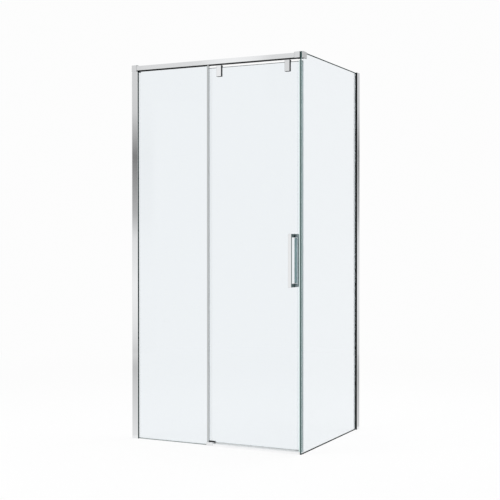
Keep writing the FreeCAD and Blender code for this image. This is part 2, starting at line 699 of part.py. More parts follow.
def clamp(name):
    """Plate behind the door that is drawn to the hanger's leg."""
    x0, x1 = hanger_span(name)
    plate = bevelled_box(x0, x1, CLAMP_FRONT, CLAMP_BACK, HANGER_BOTTOM, DOOR_TOP, HANGER_EDGE)
    radius = CLAMP_BOLT_R + BOLT_FIT
    return plate.cut(rod(HANGER_XS[name], CLAMP_FRONT, CLAMP_BOLT_Z, radius, CLAMP_PLATE, Y_AXIS))


def pad_on_door(x0, x1, z0, z1, rim, y, thickness):
    """Pad on a face of the door, with a window for the bolt."""
    corners = [(x0, z0), (x1, z0), (x1, z1), (x0, z1)]
    inner = [(x0 + rim, z0 + rim), (x1 - rim, z0 + rim), (x1 - rim, z1 - rim), (x0 + rim, z1 - rim)]
    outer = face_of([FreeCAD.Vector(x, y, z) for x, z in corners])
    window = face_of([FreeCAD.Vector(x, y, z) for x, z in inner])
    return ring_pad(outer, window, Y_AXIS * thickness)


def hanger_pads():
    """Pads on both faces of the door at each hanger."""
    pads = []
    for name in HANGER_XS:
        x0, x1 = hanger_span(name)
        for y in (LEG_BACK, DOOR_BACK):
            pads.append(pad_on_door(x0, x1, HANGER_BOTTOM, DOOR_TOP, HANGER_PAD_RIM, y, HANGER_PAD))
    return Part.makeCompound(pads)


def clamp_bolts():
    """Bolts of the hangers, with their round heads inside the shower."""
    length = CLAMP_BACK - LEG_BACK + CLAMP_BOLT_DEPTH
    bolts = []
    for x in HANGER_XS.values():
        head = rod(x, CLAMP_BACK, CLAMP_BOLT_Z, CLAMP_HEAD_R, CLAMP_HEAD_HEIGHT, Y_AXIS)
        shank = rod(x, CLAMP_BACK, CLAMP_BOLT_Z, CLAMP_BOLT_R, length, -Y_AXIS)
        bolts.append(head.fuse(shank).removeSplitter())
    return Part.makeCompound(bolts)


def hanger_studs():
    """Studs that join the hangers to the carriages through the rail's slot."""
    low = HANGER_TOP - STUD_IN_HANGER
    length = CARRIAGE_BOTTOM + STUD_IN_CARRIAGE - low
    return Part.makeCompound([rod(x, DOOR_MID, low, STUD_R, length, Z_AXIS) for x in HANGER_XS.values()])


def carriage(name):
    """Carriage in the track: a narrow beam with two axle bores and a tapped hole for the stud."""
    x = HANGER_XS[name]
    half = CARRIAGE_WIDTH / 2
    beam = box(x - CARRIAGE_LENGTH / 2, x + CARRIAGE_LENGTH / 2, DOOR_MID - half, DOOR_MID + half,
               CARRIAGE_BOTTOM, CARRIAGE_BOTTOM + CARRIAGE_HEIGHT)
    beam = bevel_edges(beam, CARRIAGE_EDGE, lambda edge: edge.BoundBox.YLength > half)
    bores = [rod(x + offset, DOOR_MID - half, AXLE_Z, AXLE_R + AXLE_RUNNING_FIT, CARRIAGE_WIDTH, Y_AXIS)
             for offset in (-WHEELBASE / 2, WHEELBASE / 2)]
    stud = rod(x, DOOR_MID, CARRIAGE_BOTTOM, STUD_R + BOLT_FIT, STUD_IN_CARRIAGE, Z_AXIS)
    return beam.cut(bores + [stud])


def wheelset(x):
    """Axle that turns in its carriage, with a moulded tyre on each end, turned from half its section."""
    half = TRACK_WIDTH / 2 - WHEEL_WALL_GAP
    inner = half - WHEEL_WIDTH
    outline = [(0, -half), (WHEEL_R, -half), (WHEEL_R, -inner), (AXLE_R, -inner), (AXLE_R, inner),
               (WHEEL_R, inner), (WHEEL_R, half), (0, half)]
    section = face_of([FreeCAD.Vector(x + radius, DOOR_MID + y, AXLE_Z) for radius, y in outline])
    return section.revolve(FreeCAD.Vector(x, DOOR_MID, AXLE_Z), Y_AXIS, 360)


def handle_bow(foot, direction, reach, bar):
    """Square bow: a bar on two posts, standing off the door by its reach."""
    seat = foot + direction * HANDLE_PAD
    crown = foot + direction * reach
    inside = crown - direction * bar
    half = HANDLE_LENGTH / 2
    gap = half - HANDLE_POST
    outline = [(seat, -half), (crown, -half), (crown, half), (seat, half), (seat, gap), (inside, gap),
               (inside, -gap), (seat, -gap)]
    face = face_of([FreeCAD.Vector(0, y, HANDLE_CENTRE + z) for y, z in outline])
    solid = along_x(face, HANDLE_X - HANDLE_WIDTH / 2, HANDLE_X + HANDLE_WIDTH / 2)

    def off_glass(edge):
        """True for the edges away from the feet."""
        return abs(edge.CenterOfMass.y - seat) > HANDLE_EDGE

    return bevel_edges(solid, HANDLE_EDGE, off_glass)


def handle_studs(fit):
    """Studs from the outer bow through the door into the inner one, with a fit all round."""
    length = GLASS + 2 * HANDLE_PAD + HANDLE_STUD_DEPTH + fit
    start = DOOR_FRONT - HANDLE_PAD
    return [rod(HANDLE_X, start, z, HANDLE_STUD_R + fit, length, Y_AXIS) for z in HANDLE_STUD_ZS]


def handle_outer():
    """Outer bow, with the two studs that pass through the door."""
    bow = handle_bow(DOOR_FRONT, -1, HANDLE_REACH, HANDLE_BAR)
    return bow.fuse(handle_studs(0)).removeSplitter()


def handle_inner():
    """Inner bow, deeper than the outer one, with a hole in each post for its stud."""
    return handle_bow(DOOR_BACK, 1, HANDLE_INNER_REACH, HANDLE_INNER_BAR).cut(handle_studs(BOLT_FIT))


def handle_pads():
    """Rubber pads between the handle's posts and the door."""
    left = HANDLE_X - HANDLE_WIDTH / 2
    right = HANDLE_X + HANDLE_WIDTH / 2
    pads = []
    for middle in HANDLE_STUD_ZS:
        low = middle - HANDLE_POST / 2
        high = middle + HANDLE_POST / 2
        for y in (DOOR_FRONT - HANDLE_PAD, DOOR_BACK):
            pads.append(pad_on_door(left, right, low, high, HANDLE_PAD_RIM, y, HANDLE_PAD))
    return Part.makeCompound(pads)


def door_magnet_left():
    """Left face of the door's magnet, in the seal's nose."""
    return DOOR_RIGHT + SEAL_NOSE - SEAL_WALL - MAGNET_FIT - MAGNET_THICKNESS


def door_seal():
    """Clear seal on the door's leading edge: two legs on the glass and a nose with a magnet pocket."""
    flank = SEAL_FIT + SEAL_WALL
    outer = plan(DOOR_RIGHT - SEAL_LEG, DOOR_RIGHT + SEAL_NOSE, DOOR_FRONT - flank, DOOR_BACK + flank)
    slot = plan(DOOR_RIGHT - SEAL_LEG, DOOR_RIGHT, DOOR_FRONT - SEAL_FIT, DOOR_BACK + SEAL_FIT)
    pocket = magnet_plan(door_magnet_left(), MAGNET_FIT)
    return upright(outer.cut([slot, pocket]), DOOR_BOTTOM, DOOR_TOP)


def door_magnet():
    """Magnet strip in the door's seal."""
    return upright(magnet_plan(door_magnet_left(), 0), DOOR_BOTTOM, DOOR_TOP)


def all_parts():
    """Every node of the enclosure by name."""
    front_sill, return_sill = sill_seals()
    parts = {
        "front_wall_channel": wall_channel("front"),
        "front_glass_post": glass_post("front"),
        "front_post_gaskets": post_gasket("front"),
        "front_post_bead": post_bead("front"),
        "front_glass": front_glass(),
        "front_sill_seal": front_sill,
        "front_edge_profile": edge_profile(),
        "front_edge_wiper": edge_wiper(),
        "return_wall_channel": wall_channel("return"),
        "return_glass_post": glass_post("return"),
        "return_post_gaskets": post_gasket("return"),
        "return_post_bead": post_bead("return"),
        "return_post_plug": return_post_plug(),
        "return_glass": return_glass(),
        "return_sill_seal": return_sill,
        "post_lock_screws": Part.makeCompound(
            lock_screws("front", 0) + lock_screws("return", 0)),
        "header_rail": header_rail(),
        "rail_glass_gasket": rail_gasket(),
        "rail_groove_cover": groove_cover(),
        "rail_wall_block": wall_block(),
        "rail_corner_block": corner_block(),
        "rail_stop": rail_stop(),
        "stop_screw": stop_screw(0),
        "rail_buffers": rail_buffers(),
        "corner_inner_gasket": corner_gasket(
            HEIGHT - CORNER_BLOCK_HEIGHT, CORNER_PAD_INSET, RETURN_INNER - CORNER_PAD, CORNER_PAD),
        "corner_outer_gasket": corner_gasket(
            HEIGHT - CAP_HEIGHT, OUTER_GASKET_INSET, RETURN_OUTER, OUTER_GASKET),
        "corner_cap": corner_cap(),
        "threshold_bar": threshold_bar(),
        "guide_base": guide_base(),
        "guide_insert": guide_insert(),
        "strike_jamb": strike_jamb(),
        "strike_magnet": strike_magnet(),
        "door_glass": door_glass(),
        "hanger_pads": hanger_pads(),
        "clamp_bolts": clamp_bolts(),
        "hanger_studs": hanger_studs(),
        "handle_outer": handle_outer(),
        "handle_inner": handle_inner(),
        "handle_pads": handle_pads(),
        "door_seal": door_seal(),
        "door_magnet": door_magnet(),
    }
    for name, x in HANGER_XS.items():
        parts["hanger_" + name] = hanger(name)
        parts["clamp_" + name] = clamp(name)
        parts["carriage_" + name] = carriage(name)
        for place, offset in (("a", -WHEELBASE / 2), ("b", WHEELBASE / 2)):
            parts["wheelset_" + name + "_" + place] = wheelset(x + offset)
    return parts


os.makedirs("parts", exist_ok=True)
for node, shape in all_parts().items():
    shape.exportStep("parts/" + node + ".step")
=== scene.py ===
"""Looks of a corner shower enclosure: a fixed pane, a sliding door and a return pane in bright metal.

Units are metres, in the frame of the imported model: +X runs to the right along the door front, +Y runs back
along the return pane and +Z is up. Every size and place is taken from the frame or is a named value.
"""
import logging
import math
from dataclasses import dataclass, field
from enum import Enum, IntEnum

import bmesh
import bpy
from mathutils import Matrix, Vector


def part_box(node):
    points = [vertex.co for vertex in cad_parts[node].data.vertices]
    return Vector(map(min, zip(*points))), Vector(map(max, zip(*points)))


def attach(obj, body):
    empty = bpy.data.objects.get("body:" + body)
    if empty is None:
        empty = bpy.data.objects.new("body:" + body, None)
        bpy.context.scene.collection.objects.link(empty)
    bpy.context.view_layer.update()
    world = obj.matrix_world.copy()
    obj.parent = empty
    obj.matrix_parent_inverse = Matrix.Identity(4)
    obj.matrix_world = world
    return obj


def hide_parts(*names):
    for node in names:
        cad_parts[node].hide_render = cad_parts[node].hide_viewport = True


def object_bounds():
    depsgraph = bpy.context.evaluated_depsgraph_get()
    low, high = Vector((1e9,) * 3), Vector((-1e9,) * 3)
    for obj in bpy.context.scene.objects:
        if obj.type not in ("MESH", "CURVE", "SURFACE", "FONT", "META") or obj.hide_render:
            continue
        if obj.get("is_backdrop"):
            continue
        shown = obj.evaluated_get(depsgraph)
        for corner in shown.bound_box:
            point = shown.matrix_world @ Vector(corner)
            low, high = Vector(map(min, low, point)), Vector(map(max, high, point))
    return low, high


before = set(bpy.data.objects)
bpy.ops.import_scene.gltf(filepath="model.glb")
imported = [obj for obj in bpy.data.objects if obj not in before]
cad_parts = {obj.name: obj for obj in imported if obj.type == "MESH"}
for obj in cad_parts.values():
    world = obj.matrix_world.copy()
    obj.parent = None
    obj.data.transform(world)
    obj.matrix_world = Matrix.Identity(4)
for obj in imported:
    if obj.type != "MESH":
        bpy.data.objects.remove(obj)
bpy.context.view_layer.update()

log = logging.getLogger("enclosure")

Colour = tuple[float, float, float]
Ring = tuple[float, float, bool]
Stops = tuple[tuple[float, float], ...]
Node = bpy.types.Node
Socket = bpy.types.NodeSocket
Sockets = bpy.types.bpy_prop_collection
Inputs = dict[str | int, object]

MM = 0.001
WELD = 0.001 * MM
SHARP_ANGLE = math.radians(35)
HALF_FLAT = math.pi / 6
GROUP_VALUE = "NodeSocketFloat"
GROUP_VECTOR = "NodeSocketVector"


class Axis(IntEnum):
    """The axes of the frame, as places in a point."""

    X = 0
    Y = 1
    Z = 2


class Run(Enum):
    """The direction in which a metal piece was drawn or polished, as scales of its grain along X, Y and Z."""

    ALONG_X = (3.0, 900.0, 900.0)
    ALONG_Y = (900.0, 3.0, 900.0)
    UPRIGHT = (900.0, 900.0, 3.0)


class Looking(Enum):
    """The direction that a face looks in: the axis, and its sign or 0 for both ways."""

    SIDEWAYS = (Axis.X, 0)
    FORWARD = (Axis.Y, -1)
    UP = (Axis.Z, 1)
    DOWN = (Axis.Z, -1)


class Reach(Enum):
    """How far a tone runs on round an edge: the least cosine between a face's direction and the tone's."""

    FLAT = 0.85
    ROUNDED = 0.6
    ROLLED = 0.2


class EdgeTone(Enum):
    """How dark a ground edge of a pane is painted: its green is the glass's own, the darker tones are painted
    shade and the faint one painted light.
    """

    DEEP = "deep"
    MIDDLE = "middle"
    PALE = "pale"
    FAINT = "faint"


class Reading(Enum):
    """What a material reads of the surface: a point's place in the frame, or the way that it faces."""

    PLACE = "Object"
    NORMAL = "Normal"


class Tree:
    """Short calls for adding and joining shader nodes."""

    def __init__(self, nodes: bpy.types.NodeTree) -> None:
        """Work on the tree of a material, a world or a group."""
        self.tree = nodes

    def give(self, socket: Socket, value: object) -> None:
        """Link an input to an output, or set it to a plain value.

        Args:
            socket: The input.
            value: The output that it follows, or its value.
        """
        if isinstance(value, Socket):
            self.tree.links.new(value, socket)
        else:
            socket.default_value = value

    def add(self, kind: str, inputs: Inputs | None = None, **settings: object) -> Node:
        """Add a node, set its properties and fill its inputs.

        Args:
            kind: The node's type name.
            inputs: Outputs or plain values, by the name or number of the input.
            settings: Properties of the node by name.

        Returns:
            The new node.
        """
        node = self.tree.nodes.new(kind)
        for name, value in settings.items():
            setattr(node, name, value)
        for key, value in (inputs or {}).items():
            self.give(node.inputs[key], value)
        return node

    def math(self, operation: str, *values: object) -> Socket:
        """Add a sum, product or the like of outputs and numbers."""
        return self.add("ShaderNodeMath", dict(enumerate(values)), operation=operation).outputs[0]

    def blend(self, factor: Socket, low: Colour | Socket, high: Colour | Socket) -> Socket:
        """Mix two colours by a mask.

        Args:
            factor: The mask, from 0 to 1.
            low: The colour at 0.
            high: The colour at 1.

        Returns:
            The mixed colour.
        """
        node = self.add("ShaderNodeMix", data_type="RGBA")
        used = [socket for socket in node.inputs if socket.enabled]
        for socket, value in zip(used, (factor, low, high)):
            self.give(socket, (*value, 1.0) if isinstance(value, tuple) else value)
        return next(socket for socket in node.outputs if socket.enabled)

    def spread(self, factor: Socket, low: float = 0.0, high: float = 1.0, start: float = 0.0,
               end: float = 1.0, smooth: bool = False) -> Socket:
        """Turn a changing number into one between two limits.

        Args:
            factor: The changing number.
            low: The limit that it has at its start.
            high: The limit that it has at its end.
            start: The changing number's start.
            end: The changing number's end.
            smooth: Whether it eases in and out.

        Returns:
            The number between the limits.
        """
        limits = {"Value": factor, "From Min": start, "From Max": end, "To Min": low, "To Max": high}
        easing = "SMOOTHSTEP" if smooth else "LINEAR"
        return self.add("ShaderNodeMapRange", limits, interpolation_type=easing).outputs["Result"]

    def surface(self, reading: Reading) -> Socket:
        """Read the surface."""
        return self.add("ShaderNodeTexCoord").outputs[reading.value]

    def split(self, reading: Reading) -> Sockets:
        """Read the surface as separate X, Y and Z."""
        return self.add("ShaderNodeSeparateXYZ", {0: self.surface(reading)}).outputs

    def noise(self, place: Socket, scale: float | Socket, detail: float) -> Socket:
        """Add a noise texture.

        Args:
            place: The place that it is read at.
            scale: How fine it is.
            detail: How many finer layers it has.

        Returns:
            The noise as a number.
        """
        texture = self.add("ShaderNodeTexNoise", {"Vector": place, "Scale": scale, "Detail": detail})
        return texture.outputs["Fac"]

    def show(self, output: str, factor: Socket, plain: Node, marked: Node) -> None:
        """Mix two shaders by a mask and send them to the tree's output.

        Args:
            output: The type name of the output node.
            factor: The mask, from 0 to 1.
            plain: The shader at 0.
            marked: The shader at 1.
        """
        mix = self.add("ShaderNodeMixShader", {0: factor, 1: plain.outputs[0], 2: marked.outputs[0]})
        self.add(output, {"Surface": mix.outputs[0]})


def bare_material(name: str) -> tuple[bpy.types.Material, Tree]:
    """Start a material that has no nodes yet.

    Args:
        name: The material's name.

    Returns:
        The material and its tree.
    """
    material = bpy.data.materials.new(name)
    material.use_nodes = True
    material.node_tree.nodes.clear()
    return material, Tree(material.node_tree)


class SharedEffects:
    """Shader node groups that several finishes use."""

    SMUDGES = "Smudges"
    PATCH_DETAIL = 3.0
    STREAK_DETAIL = 5.0
    WIPED_TURN = (0.5, 0.7, 0.4)
    WIPED_SIZE = (0.08, 0.9, 0.3)
    MARKS_FROM = 0.35
    MARKS_FULL = 0.75

    DRAWN_GRAIN = "Drawn grain"
    LINE_DETAIL = 2.0
    WAVE_DETAIL = 1.0

    MOULDED_GRAIN = "Moulded grain"
    BLOOM_SCALE = 14.0
    BLOOM_DETAIL = 4.0

    @classmethod
    def build(cls) -> None:
        """Make every group once."""
        cls._smudges()
        cls._drawn_grain()
        cls._moulded_grain()

    @staticmethod
    def _start(name: str, inputs: dict[str, str], outputs: list[str]) -> tuple[Tree, Sockets]:
        """Start a group with named sockets.

        Args:
            name: The group's name.
            inputs: Socket types by input name.
            outputs: Names of its number outputs.

        Returns:
            The group's tree, and what it is given.
        """
        group = bpy.data.node_groups.new(name, "ShaderNodeTree")
        for label, kind in inputs.items():
            group.interface.new_socket(label, in_out="INPUT", socket_type=kind)
        for label in outputs:
            group.interface.new_socket(label, in_out="OUTPUT", socket_type=GROUP_VALUE)
        tree = Tree(group)
        return tree, tree.add("NodeGroupInput").outputs

    @classmethod
    def _smudges(cls) -> None:
        """Faint cleaning marks: broad patches broken up by wiped streaks."""
        tree, given = cls._start(cls.SMUDGES, {"Scale": GROUP_VALUE, "Cover": GROUP_VALUE}, ["Mask"])
        place = tree.surface(Reading.PLACE)
        patches = tree.noise(place, given["Scale"], cls.PATCH_DETAIL)
        turned = {"Vector": place, "Rotation": cls.WIPED_TURN, "Scale": cls.WIPED_SIZE}
        wiped = tree.add("ShaderNodeMapping", turned, vector_type="TEXTURE")
        streaks = tree.noise(wiped.outputs["Vector"], given["Scale"], cls.STREAK_DETAIL)
        lifted = tree.math("ADD", tree.math("MULTIPLY", patches, streaks), given["Cover"])
        marks = tree.spread(lifted, start=cls.MARKS_FROM, end=cls.MARKS_FULL, smooth=True)
        tree.add("NodeGroupOutput", {"Mask": marks})

    @classmethod
    def _drawn_grain(cls) -> None:
        """Fine lines along a drawn or brushed piece, with a slow waviness."""
        tree, given = cls._start(cls.DRAWN_GRAIN, {"Run": GROUP_VECTOR, "Waviness": GROUP_VALUE},
                                 ["Lines", "Waves"])
        place = tree.surface(Reading.PLACE)
        stretched = tree.add("ShaderNodeVectorMath", {0: place, 1: given["Run"]}, operation="MULTIPLY")
        lines = tree.noise(stretched.outputs["Vector"], 1.0, cls.LINE_DETAIL)
        waves = tree.noise(place, given["Waviness"], cls.WAVE_DETAIL)
        tree.add("NodeGroupOutput", {"Lines": lines, "Waves": waves})

    @classmethod
    def _moulded_grain(cls) -> None:
        """Fine pebbling of moulded rubber and plastic, with a cloudy bloom."""
        tree, given = cls._start(cls.MOULDED_GRAIN, {"Scale": GROUP_VALUE}, ["Pebbles", "Bloom"])
        place = tree.surface(Reading.PLACE)
        pebbles = tree.add("ShaderNodeTexVoronoi", {"Vector": place, "Scale": given["Scale"]})
        bloom = tree.noise(place, cls.BLOOM_SCALE, cls.BLOOM_DETAIL)
        tree.add("NodeGroupOutput", {"Pebbles": pebbles.outputs["Distance"], "Bloom": bloom})


class Shading:
    """A material with one Principled shader, and calls that feed it."""

    def __init__(self, name: str) -> None:
        """Start a material.

        Args:
            name: The material's name.
        """
        self.material = bpy.data.materials.new(name)
        self.material.use_nodes = True
        self.tree = Tree(self.material.node_tree)
        self.shader = self.material.node_tree.nodes["Principled BSDF"]

    def set(self, **values: float) -> None:
        """Set sockets of the shader, with underscores for the spaces in their names."""
        for name, value in values.items():
            self.shader.inputs[name.replace("_", " ").title().replace("Ior", "IOR")].default_value = value

    def feed(self, source: Socket, name: str) -> None:
        """Link an output to a socket of the shader."""
        self.tree.give(self.shader.inputs[name], source)

    def group(self, name: str, **values: object) -> Sockets:
        """Place a shared effect with values of its inputs, and give its outputs."""
        return self.tree.add("ShaderNodeGroup", values, node_tree=bpy.data.node_groups[name]).outputs

    def smudges(self, scale: float, cover: float) -> Socket:
        """Place the shared cleaning marks and give their mask."""
        return self.group(SharedEffects.SMUDGES, Scale=scale, Cover=cover)["Mask"]

    def bump(self, height: Socket, depth: float, strength: float) -> None:
        """Raise the surface by a height.

        Args:
            height: A number that changes over the surface.
            depth: The distance that a height of 1 stands for.
            strength: How much of it shows.
        """
        raised = {"Strength": strength, "Distance": depth, "Height": height}
        self.feed(self.tree.add("ShaderNodeBump", raised).outputs["Normal"], "Normal")


@dataclass(frozen=True)
class ClearGlass:
    """The broad faces of a toughened pane: a pale tint and faint wiped smears."""

    tint: Colour = (0.869, 0.903, 0.928)
    smeared_tint: Colour = (0.861, 0.895, 0.92)
    smear_roughness: float = 0.012
    smear_scale: float = 2.5
    smear_cover: float = 0.1
    refraction: float = 1.5

    def material(self) -> bpy.types.Material:
        """Make the finish.

        Returns:
            The material.
        """
        shading = Shading("clear_glass")
        smears = shading.smudges(self.smear_scale, self.smear_cover)
        shading.feed(shading.tree.blend(smears, self.tint, self.smeared_tint), "Base Color")
        shading.feed(shading.tree.spread(smears, 0.0, self.smear_roughness), "Roughness")
        shading.set(transmission_weight=1.0, ior=self.refraction)
        return shading.material


@dataclass(frozen=True)
class GroundEdge:
    """The ground and polished edge of a pane, which looks greener the further the light in it has come; its
    darkness or paleness is painted shade and light.
    """

    name: str
    colour: Colour
    pale: Colour
    roughness: float = 0.4
    smudged_roughness: float = 0.55
    smudge_scale: float = 12.0
    smudge_cover: float = 0.1
    grain_scale: float = 2600.0
    grain_depth: float = 0.015 * MM
    grain_strength: float = 0.3
    gloss: float = 0.0

    def material(self) -> bpy.types.Material:
        """Make the finish.

        Returns:
            The material.
        """
        shading = Shading(self.name)
        grain = shading.group(SharedEffects.MOULDED_GRAIN, Scale=self.grain_scale)
        shading.feed(shading.tree.blend(grain["Bloom"], self.colour, self.pale), "Base Color")
        smudges = shading.smudges(self.smudge_scale, self.smudge_cover)
        shading.feed(shading.tree.spread(smudges, self.roughness, self.smudged_roughness), "Roughness")
        shading.bump(grain["Pebbles"], self.grain_depth, self.grain_strength)
        shading.set(specular_ior_level=self.gloss)
        return shading.material


@dataclass(frozen=True)
class Tone:
    """A painted shade or light on the faces that look one way, everywhere or only behind a place along Y.

    It stands in for the shade and reflections that fall on those faces, and is dull, unless it is plated.
    """

    looking: Looking
    colour: Colour
    reach: Reach = Reach.FLAT
    behind: float = -math.inf
    plated: bool = False

    def mask(self, tree: Tree) -> Socket:
        """Find the faces that have the tone.

        Args:
            tree: The material's tree.

        Returns:
            A mask that is 1 there and 0 elsewhere.
        """
        axis, sign = self.looking.value
        part = tree.split(Reading.NORMAL)[axis]
        turned = tree.math("MULTIPLY", part, sign) if sign else tree.math("ABSOLUTE", part)
        mask = tree.math("GREATER_THAN", turned, self.reach.value)
        if math.isfinite(self.behind):
            beyond = tree.math("GREATER_THAN", tree.split(Reading.PLACE)[Axis.Y], self.behind)
            mask = tree.math("MULTIPLY", mask, beyond)
        return mask


@dataclass(frozen=True)
class BrightMetal:
    """Chrome plate or polished aluminium, with fine lines along its run and faint smudges.

    Faces that look one way may have a painted tone of their own: painted shade on ends, flanks and
    undersides, and painted light on the back of the jamb's flanks.
    """

    name: str
    colour: Colour
    run: Run
    smooth: float = 0.06
    smeared: float = 0.16
    line_depth: float = 0.01 * MM
    tones: tuple[Tone, ...] = ()
    line_strength: float = 0.3
    waviness: float = 5.0
    dulling: float = 0.93
    smudge_scale: float = 9.0
    smudge_cover: float = 0.05

    def material(self) -> bpy.types.Material:
        """Make the finish.

        Returns:
            The material.
        """
        shading = Shading(self.name + "_" + self.run.name.lower())
        tree = shading.tree
        grain = shading.group(SharedEffects.DRAWN_GRAIN, Run=self.run.value, Waviness=self.waviness)
        dull = tuple(self.dulling * channel for channel in self.colour)
        colour = tree.blend(grain["Waves"], dull, self.colour)
        bright = None
        # Each tone paints shade or light over the faces that look its way.
        for tone in self.tones:
            mask = tone.mask(tree)
            colour = tree.blend(mask, colour, tone.colour)
            if not tone.plated:
                rest = tree.math("SUBTRACT", 1.0, mask)
                bright = tree.math("MULTIPLY", bright, rest) if bright else rest
        shading.feed(colour, "Base Color")
        if bright:
            shading.feed(bright, "Metallic")
            shading.set(specular_ior_level=0.0)
        else:
            shading.set(metallic=1.0)
        smudges = shading.smudges(self.smudge_scale, self.smudge_cover)
        shading.feed(tree.spread(smudges, self.smooth, self.smeared), "Roughness")
        shading.bump(grain["Lines"], self.line_depth, self.line_strength)
        return shading.material


@dataclass(frozen=True)
class Moulded:
    """Rubber, nylon, opaque vinyl or magnet strip, pebbled and slightly clouded.

    It may have a lip of another colour, which begins at a place along X.
    """

    name: str
    colour: Colour
    bloom: Colour
    roughness: float
    gloss: float = 0.5
    clouding: float = 0.1
    pebble_scale: float = 1500.0
    pebble_depth: float = 0.04 * MM
    pebble_strength: float = 0.4
    lip: Colour = (0.0, 0.0, 0.0)
    lip_from: float = math.inf

    def material(self) -> bpy.types.Material:
        """Make the finish.

        Returns:
            The material.
        """
        shading = Shading(self.name)
        tree = shading.tree
        grain = shading.group(SharedEffects.MOULDED_GRAIN, Scale=self.pebble_scale)
        colour = tree.blend(grain["Bloom"], self.colour, self.bloom)
        if math.isfinite(self.lip_from):
            on_lip = tree.math("GREATER_THAN", tree.split(Reading.PLACE)[Axis.X], self.lip_from)
            colour = tree.blend(on_lip, colour, self.lip)
        shading.feed(colour, "Base Color")
        low, high = self.roughness - self.clouding, self.roughness + self.clouding
        shading.feed(tree.spread(grain["Bloom"], low, high), "Roughness")
        shading.bump(grain["Pebbles"], self.pebble_depth, self.pebble_strength)
        shading.set(specular_ior_level=self.gloss)
        return shading.material


@dataclass(frozen=True)
class ClearVinyl:
    """Clear flexible strip with a faint blue-green cast and a drawn surface."""

    tint: Colour = (0.985, 0.99, 0.992)
    clouded: Colour = (0.97, 0.982, 0.985)
    waviness: float = 7.0
    line_roughness: float = 0.03
    refraction: float = 1.08

    def material(self) -> bpy.types.Material:
        """Make the finish.

        Returns:
            The material.
        """
        shading = Shading("clear_vinyl")
        grain = shading.group(SharedEffects.DRAWN_GRAIN, Run=Run.UPRIGHT.value, Waviness=self.waviness)
        shading.feed(shading.tree.blend(grain["Waves"], self.tint, self.clouded), "Base Color")
        shading.feed(shading.tree.spread(grain["Lines"], 0.0, self.line_roughness), "Roughness")
        shading.set(transmission_weight=1.0, ior=self.refraction)
        return shading.material


